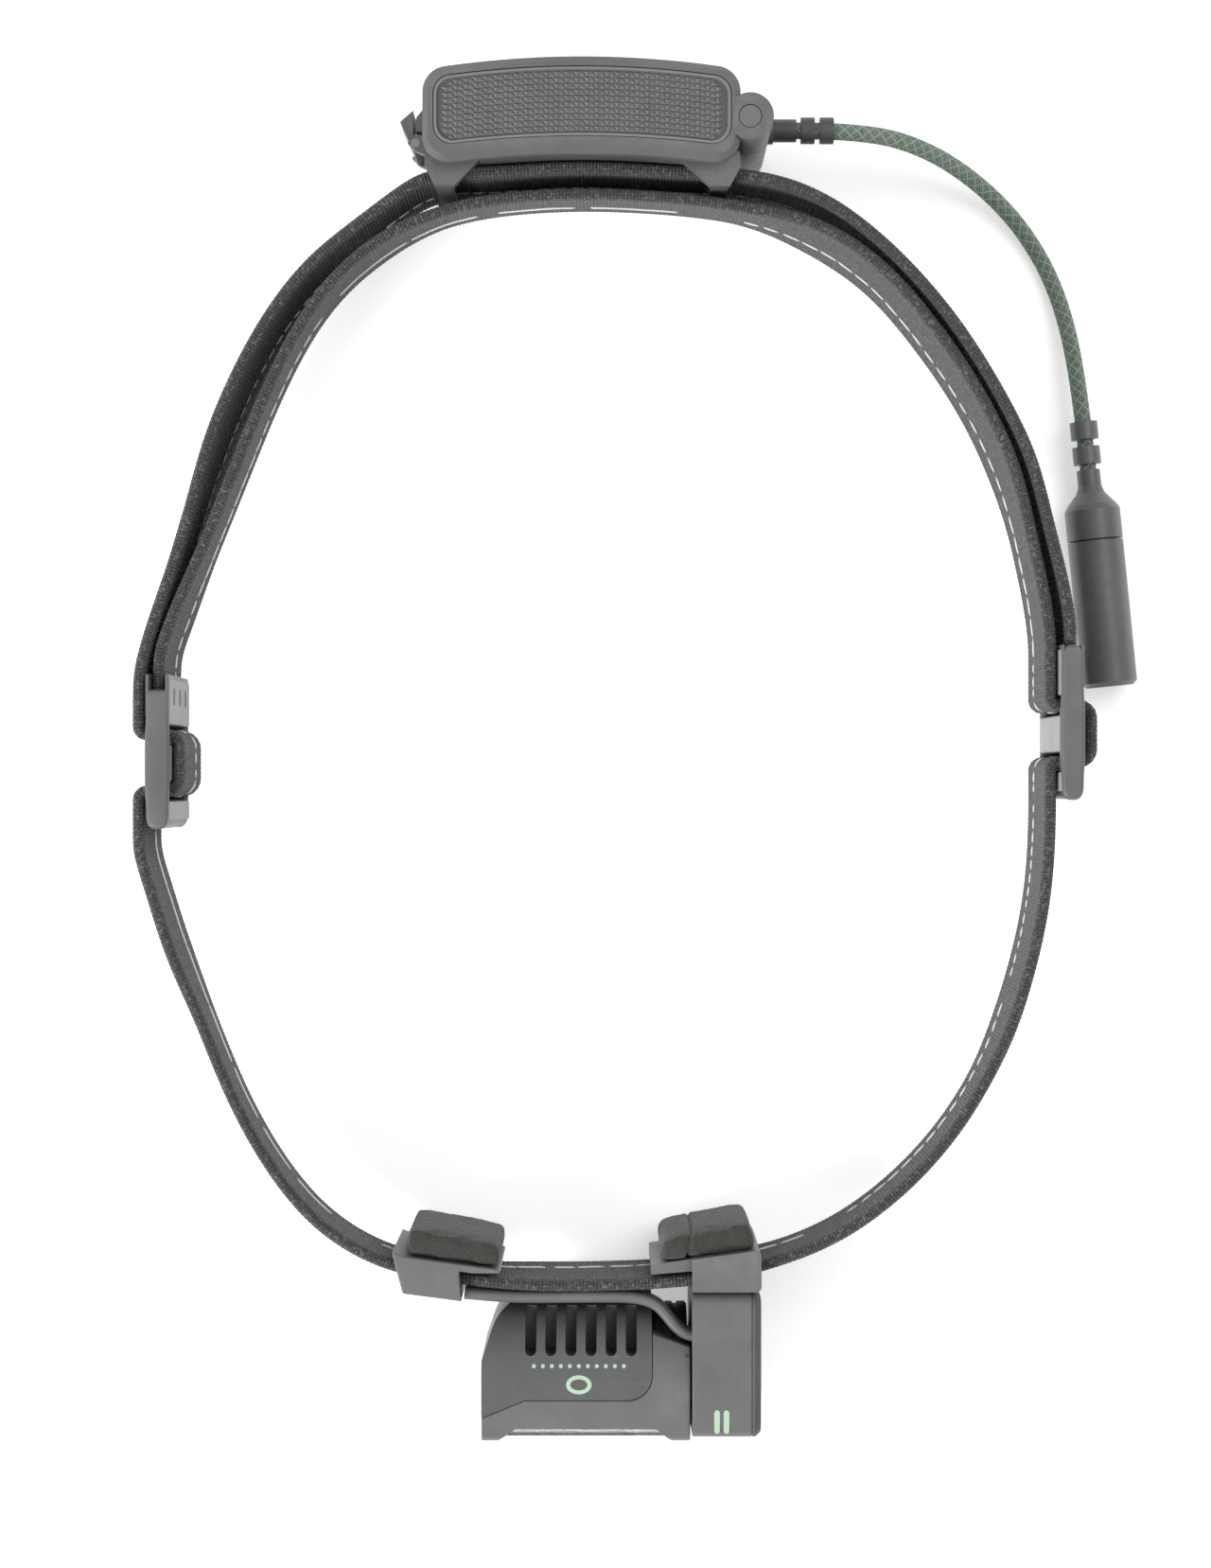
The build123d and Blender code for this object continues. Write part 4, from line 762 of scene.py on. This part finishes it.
def slider(name, node, side, bar, open_end):
    """Three-bar slider, waisted between its bars, with a pale face towards the head."""
    x0, x1 = side * SEWN_X - SLIDER_HALF, side * SEWN_X + SLIDER_HALF
    low, high = bar - BAR_HALF - SLOT - SHORT_END, bar + BAR_HALF + SLOT + LONG_END
    middle = (low + high) / 2
    reach = (high - low) / 2

    def swell(y):
        past = min(1.0, max(0.0, abs(y - middle) - reach + END_ROUND) / END_ROUND)
        waist = 0.88 + 0.12 * math.exp(-((y - bar) / 6.5) ** 4)
        return waist * math.sqrt(1.0 - 0.80 * past ** 2)

    mould = Mould()
    for foot, head in ((SLIDER_FOOT, SLIDER_FOOT + RAIL), (SLIDER_TOP - RAIL, SLIDER_TOP)):
        notch = POCKET_LIP if open_end else 0.0
        mould.block((x0, low, foot), (x1, high - notch, head), 0.86, swell, 34)
    foot, head = SLIDER_FOOT + UNDER, SLIDER_TOP - UNDER
    mould.block((x0, low + 0.1, foot), (x1, low + SHORT_END, head), 1.0, swell, 14)
    mould.block((x0, bar - BAR_HALF, foot), (x1, bar + BAR_HALF, head), 0.9, swell, 12)
    start = high - LONG_END
    mould.block((x0, start, foot), (x1, high - POCKET_LIP - 0.1, head), 0.9, swell, 12)
    for face in (-1, 1):
        cheek = sorted((side * SEWN_X + face * SLIDER_HALF * 0.9, side * SEWN_X + face * 1.45))
        mould.block((cheek[0], start + 1.5, foot + 0.1), (cheek[1], high, head + 0.1), 0.3)
    pale_x = side * (SEWN_X - SLIDER_HALF - 0.04)
    pale = sorted((pale_x, pale_x + side * 0.8))
    ends = ((low + 1.6, low + SHORT_END - 0.2), (start + 0.2, high - 0.8))
    for near, far in (*ends, (bar - BAR_HALF + 0.2, bar + BAR_HALF - 0.2)):
        mould.block((pale[0], near, foot + 0.6), (pale[1], far, head - 0.4), 0.35, paint=1)
    # Each groove is a thin black block just proud of the pale face, not cut in: painted shade where the
    # groove is.
    for row in range(3):
        notch = sorted((pale_x - side * 0.03, pale_x + side * 0.4))
        groove_low = (notch[0], high - 5.6, 11.0 + 8 * row)
        groove_high = (notch[1], high - 2.4, 13.4 + 8 * row)
        mould.block(groove_low, groove_high, 0.2, paint=2)
    fit(mould.make(name, SLIDER_GRAY, SLIDER_PALE, BLACK), ROOT, "slider_plastic", node)


slider("slider_right", "slider_right_side", -1, LEFT_BAR, True)
slider("slider_left", "slider_left_side", 1, RIGHT_BAR, False)


LEAD_POINTS = [
    (-27.2, -97.7), (-20.0, -98.25), (-8.0, -98.35), (0.0, -98.35), (4.6, -98.7), (7.6, -99.9),
    (9.6, -102.0), (11.4, -104.0), (13.2, -105.1), (15.2, -105.5),
]
LEAD_HALF = 1.0
LEAD_LOW, LEAD_HIGH = 26.4, 32.4


def flat_lead(name, points):
    """Flat moulded lead with rounded edges along a plan path."""
    p, _ = evenly(natural_spline(points), 0.35)
    side = side_vectors(p)
    outline = []
    for sign, height in ((1, LEAD_HIGH - LEAD_HALF), (-1, LEAD_LOW + LEAD_HALF)):
        for k in range(9):
            angle = math.pi * k / 8
            reach = sign * LEAD_HALF
            outline.append((reach * math.cos(angle), height + reach * math.sin(angle)))
    n = len(outline)
    verts = []
    for point, across in zip(p, side):
        for x, z in outline:
            verts.append((point[0] + across[0] * x, point[1] + across[1] * x, z))
    faces = [tuple(range(n)), tuple((len(p) - 1) * n + k for k in reversed(range(n)))]
    faces += strip_quads(len(p), n)
    return dress(mesh_object(name, verts, faces), GRAY)


fit(flat_lead("flat_lamp_lead", LEAD_POINTS), ROOT, "soft_rubber", "lamp_lead")
rolled("band_clip", 0.35, "gray_plastic")
rolled("band_clamp", 0.35, "gray_plastic")
rolled("column_housing", 0.7, "gray_plastic")
rolled("side_cover", 0.35, "soft_rubber", material=RUBBER)
rolled("heat_sink", 0.5, "gray_plastic", "lamp_head", LAMP_DARK)
rolled("front_bezel", 0.7, "gray_plastic", "lamp_head")
rolled("battery_cover", 0.45, "dark_plastic", "pack_cover", PACK_GRAY)
rolled("battery_base", 0.3, "gray_plastic", material=PACK_GRAY)
rolled("band_cradle", 0.3, "gray_plastic", material=PACK_GRAY)
rolled("cover_latch", 0.2, "gray_plastic", "pack_latch", PACK_GRAY)
rolled("cord_boot", 0.35, "soft_rubber", material=BOOT_DARK)
rolled("cover_hinge_pin", 0.12, "steel", material=RING_GRAY)

PLAIN = {
    "power_button": RUBBER, "driver_board": BOARD, "tact_switch": BLACK, "tilt_friction_ring": RUBBER,
    "tilt_axle": GRAY, "axle_nut": STEEL, "lens_seal": RUBBER,
    "led_board": BOARD, "led_chips": PHOSPHOR, "centre_optic": CLEAR, "bezel_screws": STEEL,
    "latch_pin": STEEL, "base_seal": RUBBER,
    "aaa_cells": CELL, "contact_springs": GILT, "contact_plates": GILT, "base_screws": STEEL,
    "connector_body": PLUG_DARK, "connector_plug": BLACK, "connector_pins": GILT,
    "connector_seal": RUBBER, "connector_cap": PLUG_DARK,
}
for node, material in PLAIN.items():
    dress(NODES[node], material)


# ---- studded grip panels ------------------------------------------------------------------
PACK_X = -6.0
GRIP_LEFT, GRIP_RIGHT = -32.4, 20.7
GRIP_CORNER = 3.3
STUD_ROWS, STUD_PITCH, STUD_CORNER = 10, 1.8, 3.0


def arc(x, peak, radius):
    return peak - radius + np.sqrt(radius**2 - (x - PACK_X) ** 2)


def grip_front(x):
    return arc(x, 109.9, 190.0)


def grip_rear(x):
    return arc(x, 122.3, 175.0)


def grip_outline(inset):
    """Rounded outline of the grip panel, pulled in by a distance."""
    left, right = GRIP_LEFT + inset, GRIP_RIGHT - inset
    corner = GRIP_CORNER - inset * 0.6
    points = []
    for x0, edge, out_x, out_y, first in (
        (right, grip_front, -1, 1, -90), (right, grip_rear, -1, -1, 0),
        (left, grip_rear, 1, -1, 90), (left, grip_front, 1, 1, 180),
    ):
        cx = x0 + out_x * corner
        cy = edge(cx) + out_y * (corner + inset)
        for k in range(9):
            a = math.radians(first + 90 * k / 8)
            points.append((cx + corner * math.cos(a), cy + corner * math.sin(a)))
        if first in (0, 180):
            start, stop = right - corner, left + corner
            if first == 180:
                start, stop = stop, start
            for x in np.linspace(start, stop, 26)[1:-1]:
                points.append((x, edge(x) - inset * (1 if first == 0 else -1)))
    return points


def stud_panel(name, base, lift, body, node):
    """Rubber panel with a raised rim and rows of small three-sided studs, its floor between them painted
    darker as shade; lift is +1 or -1.
    """
    verts, faces = [], []

    def ring(points, z):
        start = len(verts)
        verts.extend((x, y, z) for x, y in points)
        return start, len(points)

    def skirt(low, high):
        (a, n), (b, _) = low, high
        for k in range(n):
            m = (k + 1) % n
            faces.append((a + k, a + m, b + m, b + k))

    levels = [
        (0.06, base), (0.0, base + 0.12 * lift), (0.0, base + 0.72 * lift), (0.10, base + 0.86 * lift),
        (0.26, base + 0.90 * lift), (0.50, base + 0.88 * lift), (0.66, base + 0.42 * lift),
    ]
    rings = [ring(grip_outline(inset), z) for inset, z in levels]
    for low, high in zip(rings, rings[1:]):
        skirt(low, high)
    faces.append(tuple(range(rings[0][0] + rings[0][1] - 1, rings[0][0] - 1, -1)))
    faces.append(tuple(range(rings[-1][0], rings[-1][0] + rings[-1][1])))
    floor_face = len(faces) - 1

    floor_z, tip_z = base + 0.42 * lift, base + 0.98 * lift
    half = STUD_PITCH / 2 * 0.90
    count = int((GRIP_RIGHT - GRIP_LEFT - 2.0) / STUD_PITCH)
    for row in range(STUD_ROWS):
        low, high = (row + 0.08) / STUD_ROWS, (row + 0.94) / STUD_ROWS
        for k in range(count * 2):
            x = GRIP_LEFT + 1.3 + (k + (row % 2)) * STUD_PITCH / 2
            front, rear = grip_front(x), grip_rear(x)
            y_low = front + 0.8 + (rear - front - 1.6) * low
            y_high = front + 0.8 + (rear - front - 1.6) * high
            point, flat = (y_high, y_low) if (k + row) % 2 == 0 else (y_low, y_high)
            inside_x = min(x - GRIP_LEFT, GRIP_RIGHT - x) - 1.4
            inside_y = min(y_low - front, rear - y_high) - 0.5
            past = math.hypot(max(0, STUD_CORNER - inside_x), max(0, STUD_CORNER - inside_y))
            if inside_x < 0 or past > STUD_CORNER:
                continue
            start = len(verts)
            verts.extend([(x - half, flat, floor_z), (x + half, flat, floor_z), (x, point, floor_z)])
            verts.append((x, (point + 2 * flat) / 3, tip_z))
            for a, b in ((0, 1), (1, 2), (2, 0)):
                faces.append((start + a, start + b, start + 3))
            faces.append((start + 2, start + 1, start))
    obj = mesh_object(name, verts, faces, smooth=False)
    # The floor between the studs takes the darker material: painted shade.
    obj.data.polygons[floor_face].material_index = 1
    bm = bmesh.new()
    bm.from_mesh(obj.data)
    bmesh.ops.recalc_face_normals(bm, faces=bm.faces)
    bm.to_mesh(obj.data)
    bm.free()
    dress(obj, GRIP_GRAY, GRIP_FLOOR_SHADE)
    return fit(obj, body, "soft_rubber", node)


stud_panel("studded_panel_top", 39.0, 1, "pack_cover", "grip_panel_top")
stud_panel("studded_panel_bottom", 1.0, -1, "pack_cover", "grip_panel_bottom")


# ---- forehead pads: foam under a napped skin, after a short cloth simulation --------------
PAD_MOVE = 0.45
PAD_VOXEL = 1.0
PAD_PRESSURE, PAD_STIFFNESS = 4.0, 18.0
CLOTH_FRAMES = 20
NOISE_WAVES = 14


def soft_noise(points, scale, seed):
    """Cheap smooth noise between -1 and 1 at points in millimetres."""
    rng = np.random.default_rng(seed)
    total = np.zeros(len(points))
    for _ in range(NOISE_WAVES):
        direction = rng.normal(size=3)
        direction /= np.linalg.norm(direction)
        pitch = scale * rng.uniform(0.7, 1.5)
        phase = rng.uniform(0, 6.28)
        total += np.sin(points @ direction * 2 * math.pi / pitch + phase)
    return total / 5.0


def coordinates(mesh):
    """Vertex places and normals of a mesh, in millimetres."""
    place = np.empty(len(mesh.vertices) * 3)
    mesh.vertices.foreach_get("co", place)
    normal = np.array([tuple(v.normal) for v in mesh.vertices])
    return place.reshape(-1, 3) / MM, normal


def baked(obj):
    """Replace an object's mesh by what its modifiers make of it."""
    graph = bpy.context.evaluated_depsgraph_get()
    mesh = bpy.data.meshes.new_from_object(obj.evaluated_get(graph))
    obj.modifiers.clear()
    obj.data = mesh


def foam_pad(name, node, seed, seam=None):
    """Pad simulated as cloth under air pressure, then napped; seam is a plan line across it."""
    obj = add_object(name, NODES[node].data.copy())
    remesh = obj.modifiers.new("even_skin", "REMESH")
    remesh.mode = "VOXEL"
    remesh.voxel_size = PAD_VOXEL * MM
    baked(obj)
    rest, _ = coordinates(obj.data)
    cloth = obj.modifiers.new("air", "CLOTH")
    cloth.settings.use_pressure = True
    cloth.settings.uniform_pressure_force = PAD_PRESSURE
    cloth.settings.tension_stiffness = PAD_STIFFNESS
    cloth.settings.compression_stiffness = PAD_STIFFNESS
    cloth.settings.effector_weights.gravity = 0.0
    cloth.point_cache.frame_start = 1
    cloth.point_cache.frame_end = CLOTH_FRAMES
    scene = bpy.context.scene
    for frame_number in range(1, CLOTH_FRAMES + 1):
        scene.frame_set(frame_number)
    baked(obj)
    scene.frame_set(1)
    blown, _ = coordinates(obj.data)
    move = blown - rest
    far = np.linalg.norm(move, axis=1)
    move *= np.minimum(1.0, PAD_MOVE / np.maximum(far, 1e-9))[:, None]
    obj.data.vertices.foreach_set("co", ((rest + move) * MM).ravel())
    for kind, settings in (
        ("SMOOTH", {"factor": 0.5, "iterations": 4}), ("SUBSURF", {"levels": 2, "render_levels": 2}),
    ):
        step = obj.modifiers.new(kind.lower(), kind)
        for key, value in settings.items():
            setattr(step, key, value)
    baked(obj)
    place, normal = coordinates(obj.data)
    lift = 0.05 * soft_noise(place, 3.4, seed) + 0.035 * soft_noise(place, 1.1, seed + 1)
    lift += 0.05 * soft_noise(place, 0.5, seed + 2)
    if seam is not None:
        (x0, y0), (x1, y1) = seam
        along = np.array([x1 - x0, y1 - y0])
        along /= np.linalg.norm(along)
        off = (place[:, 0] - x0) * along[1] - (place[:, 1] - y0) * along[0]
        lift -= 0.5 * np.exp(-((off / 0.28) ** 2))
    place += normal * np.clip(lift, -0.7, 0.25)[:, None]
    obj.data.vertices.foreach_set("co", (place * MM).ravel())
    obj.data.polygons.foreach_set("use_smooth", [True] * len(obj.data.polygons))
    dress(obj, FOAM)
    fit(obj, ROOT, "pad_foam", node)


foam_pad("foam_pad_right", "forehead_pad_right", 11)
foam_pad("foam_pad_left", "forehead_pad_left", 23, ((13.0, -92.0), (13.8, -85.0)))


# ---- lens and its chromed tray ------------------------------------------------------------
TILT_Y, TILT_Z = -113.5, 18.0
LENS_LEFT, LENS_RIGHT = -20.6, 10.0
LENS_LOW, LENS_HIGH = 5.8, 30.2
LENS_BACK, LENS_FACE = -119.0, -123.7
LENS_WALL = 0.7
REFLECTORS = ((-13.9, 5.4), (2.9, 5.4))
OPTIC_X = -5.5
BOARD_FACE = -111.4
CUP_RIM = -118.8


def lens_shell():
    """Clear lens with thin walls and rounded front edges, open at the back."""
    mould = Mould()
    far_corner = (LENS_RIGHT, LENS_FACE + LENS_WALL, LENS_HIGH)
    mould.block((LENS_LEFT, LENS_FACE, LENS_LOW), far_corner, 0.34, steps=24)
    front = LENS_FACE + 0.2
    for low, high in ((LENS_LOW, LENS_LOW + LENS_WALL), (LENS_HIGH - LENS_WALL, LENS_HIGH)):
        mould.block((LENS_LEFT, front, low), (LENS_RIGHT, LENS_BACK, high), 0.3, steps=24)
    foot, head = LENS_LOW + 0.4, LENS_HIGH - 0.4
    for low, high in ((LENS_LEFT, LENS_LEFT + LENS_WALL), (LENS_RIGHT - LENS_WALL, LENS_RIGHT)):
        mould.block((low, front, foot), (high, LENS_BACK, head), 0.3, steps=12)
    return mould.make("lens_shell", CLEAR)


fit(lens_shell(), "lamp_head", "lens_clear", "front_lens")


def mirror_tray():
    """Chromed tray with two deep cups, a small middle cup and a rippled rim behind the lens."""
    left, right = LENS_LEFT + 1.0, LENS_RIGHT - 1.0
    low, high = LENS_LOW + 0.95, LENS_HIGH - 0.95
    columns = np.linspace(left, right, 93)
    rows = np.linspace(low, high, 69)
    cups = [(x, r, BOARD_FACE - 0.3) for x, r in REFLECTORS] + [(OPTIC_X, 2.75, BOARD_FACE - 1.0)]

    def depth(x, z):
        y = CUP_RIM + 0.25
        for cx, radius, bottom in cups:
            reach = math.hypot(x - cx, z - TILT_Z)
            if reach < radius:
                share = max(reach, 2.0 if radius > 4 else 1.9) / radius
                y = bottom + (CUP_RIM - bottom) * share ** 2
        edge = min(x - left, right - x, z - low, high - z)
        rim = math.exp(-((edge / 1.1) ** 2))
        ripple = 0.5 + 0.5 * math.cos((x - REFLECTORS[0][0]) * 2 * math.pi / 8.4)
        return y - rim * (2.3 + 1.8 * ripple)

    verts, faces = [], []
    for z in rows:
        for x in columns:
            y = depth(x, z)
            verts.append((x, max(y, LENS_FACE + 0.8), z))
    n, m = len(columns), len(rows)
    for j in range(m - 1):
        for i in range(n - 1):
            faces.append((j * n + i, j * n + i + 1, (j + 1) * n + i + 1, (j + 1) * n + i))
    obj = mesh_object("mirror_tray", verts, faces)
    solid = obj.modifiers.new("thickness", "SOLIDIFY")
    solid.thickness = 0.3 * MM
    solid.offset = 1.0
    return dress(obj, MIRROR)


fit(mirror_tray(), "lamp_head", "mirror_coat", "flood_reflector", "spot_reflector")


# ---- dark drum at the tilt hinge: a guess, with no CAD piece behind it; its black is painted shade in the gap ---
HUB_PROFILE = (
    (6.9, 0.0), (6.9, 11.6), (7.2, 12.1), (8.2, 12.3), (8.5, 11.9), (9.0, 11.9), (9.3, 12.3),
    (10.4, 12.3), (10.7, 11.9), (11.2, 11.9), (11.5, 12.3), (12.8, 12.3), (13.2, 11.9), (13.3, 0.0),
)
HUB_FRONT = -108.5
HUB_SIDES = 72


def hinge_hub():
    """Rear part of a grooved drum round the tilt axis, cut flat inside the bezel's block; its black is
    painted shade in the gap there.
    """
    n = HUB_SIDES
    verts, faces = [], []
    for x, radius in HUB_PROFILE:
        for k in range(n):
            angle = 2 * math.pi * k / n
            y = max(HUB_FRONT, TILT_Y + radius * math.cos(angle))
            verts.append((x, y, TILT_Z + radius * math.sin(angle)))
    for j in range(len(HUB_PROFILE) - 1):
        for k in range(n):
            m = (k + 1) % n
            faces.append((j * n + k, j * n + m, (j + 1) * n + m, (j + 1) * n + k))
    # Black all over: painted shade filling the gap where the floor would show through.
    return dress(mesh_object("hinge_hub", verts, faces), BLACK)


fit(hinge_hub(), "lamp_head", "gray_plastic")


# ---- printed marks: a row of dots, a ring and two bars ------------------------------------
HEAD_RISE, HEAD_DEPTH = 16.0, 14.5
COLUMN_TOP = 36.0
ROUND_SIDES, BAR_END_POINTS = 36, 9
DOT_COUNT, DOT_PITCH = 11, 1.62
BAR_COUNT, BAR_PITCH = 2, 1.7


def head_top(y):
    """Height of the lamp head's upper face."""
    back = max(0.0, y - TILT_Y)
    return TILT_Z + HEAD_RISE * math.sqrt(1 - (back / HEAD_DEPTH) ** 2)


def printed(name, shapes, height, body):
    """Thin prints with raised rims: each shape is (outer loop, inner loop or None) in plan."""
    verts, faces = [], []
    for outer, inner in shapes:
        rings = []
        for loop, lift in ((outer, -0.12), (outer, 0.03), (inner, 0.045), (inner, -0.12)):
            if loop is None:
                continue
            rings.append(len(verts))
            verts.extend((x, y, height(y) + lift) for x, y in loop)
        n = len(outer)
        for a, b in zip(rings, rings[1:]):
            for k in range(n):
                m = (k + 1) % n
                faces.append((a + k, a + m, b + m, b + k))
        if inner is None:
            faces.append(tuple(rings[-1] + k for k in range(n)))
    obj = dress(mesh_object(name, verts, faces, smooth=False), MARK)
    return fit(obj, body, "gray_plastic")


def loop_round(x, y, rx, ry=None):
    """Closed round loop in plan."""
    ry = ry or rx
    angles = [2 * math.pi * k / ROUND_SIDES for k in range(ROUND_SIDES)]
    return [(x + rx * math.cos(a), y + ry * math.sin(a)) for a in angles]


def loop_bar(x, y, half_x, half_y):
    """Closed loop of a bar with round ends."""
    out = []
    for sign, first in ((1, 0), (-1, 180)):
        for k in range(BAR_END_POINTS):
            a = math.radians(first + 180 * k / (BAR_END_POINTS - 1))
            out.append((x + half_x * math.cos(a), y + sign * (half_y - half_x) + half_x * math.sin(a)))
    return out


marks = [(loop_round(-14.6 + DOT_PITCH * k, -110.4, 0.36), None) for k in range(DOT_COUNT)]
marks.append((loop_round(-6.5, -113.7, 2.3, 1.7), loop_round(-6.5, -113.7, 1.55, 1.0)))
printed("head_print", marks, head_top, "lamp_head")
bars = [(loop_bar(18.3 + BAR_PITCH * k, -120.0, 0.5, 2.1), None) for k in range(BAR_COUNT)]
printed("column_print", bars, lambda y: COLUMN_TOP, ROOT)


# ---- stage, light -------------------------------------------------------------------------
FLOOR_HALF = 900
FLOOR_GLOW, WORLD_LIGHT = 0.42, 0.62
LIGHT_TARGET = (0, 0, 0.02)

corners = [(x * FLOOR_HALF, y * FLOOR_HALF, 0) for x, y in ((-1, -1), (1, -1), (1, 1), (-1, 1))]
floor = mesh_object("floor", corners, [(0, 1, 2, 3)])
floor_graph = Graph("pale_floor")
floor_tone = floor_graph.mix(floor_graph.noise(3.0, 2.0), (0.90, 0.90, 0.90), (0.93, 0.93, 0.93))
floor_graph.finish(Emission_Color=(1.0, 1.0, 1.0), Emission_Strength=FLOOR_GLOW)
dress(floor, floor_graph.finish(Base_Color=floor_tone, Roughness=0.9))

world = bpy.data.worlds.new("studio")
world.use_nodes = True
background = world.node_tree.nodes["Background"]
background.inputs["Color"].default_value = (1.0, 1.0, 1.0, 1)
background.inputs["Strength"].default_value = WORLD_LIGHT
bpy.context.scene.world = world


def soft_light(name, place, size, power):
    """Large square light turned to the object."""
    data = bpy.data.lights.new(name, "AREA")
    data.size = size
    data.energy = power
    light = add_object(name, data)
    light.location = place
    light.rotation_euler = (Vector(LIGHT_TARGET) - Vector(place)).to_track_quat("-Z", "Y").to_euler()


soft_light("key", (-0.75, -0.55, 0.85), 0.5, 15.0)
soft_light("fill", (0.6, 0.5, 1.2), 0.7, 6.0)

bpy.context.scene.view_settings.view_transform = "Standard"
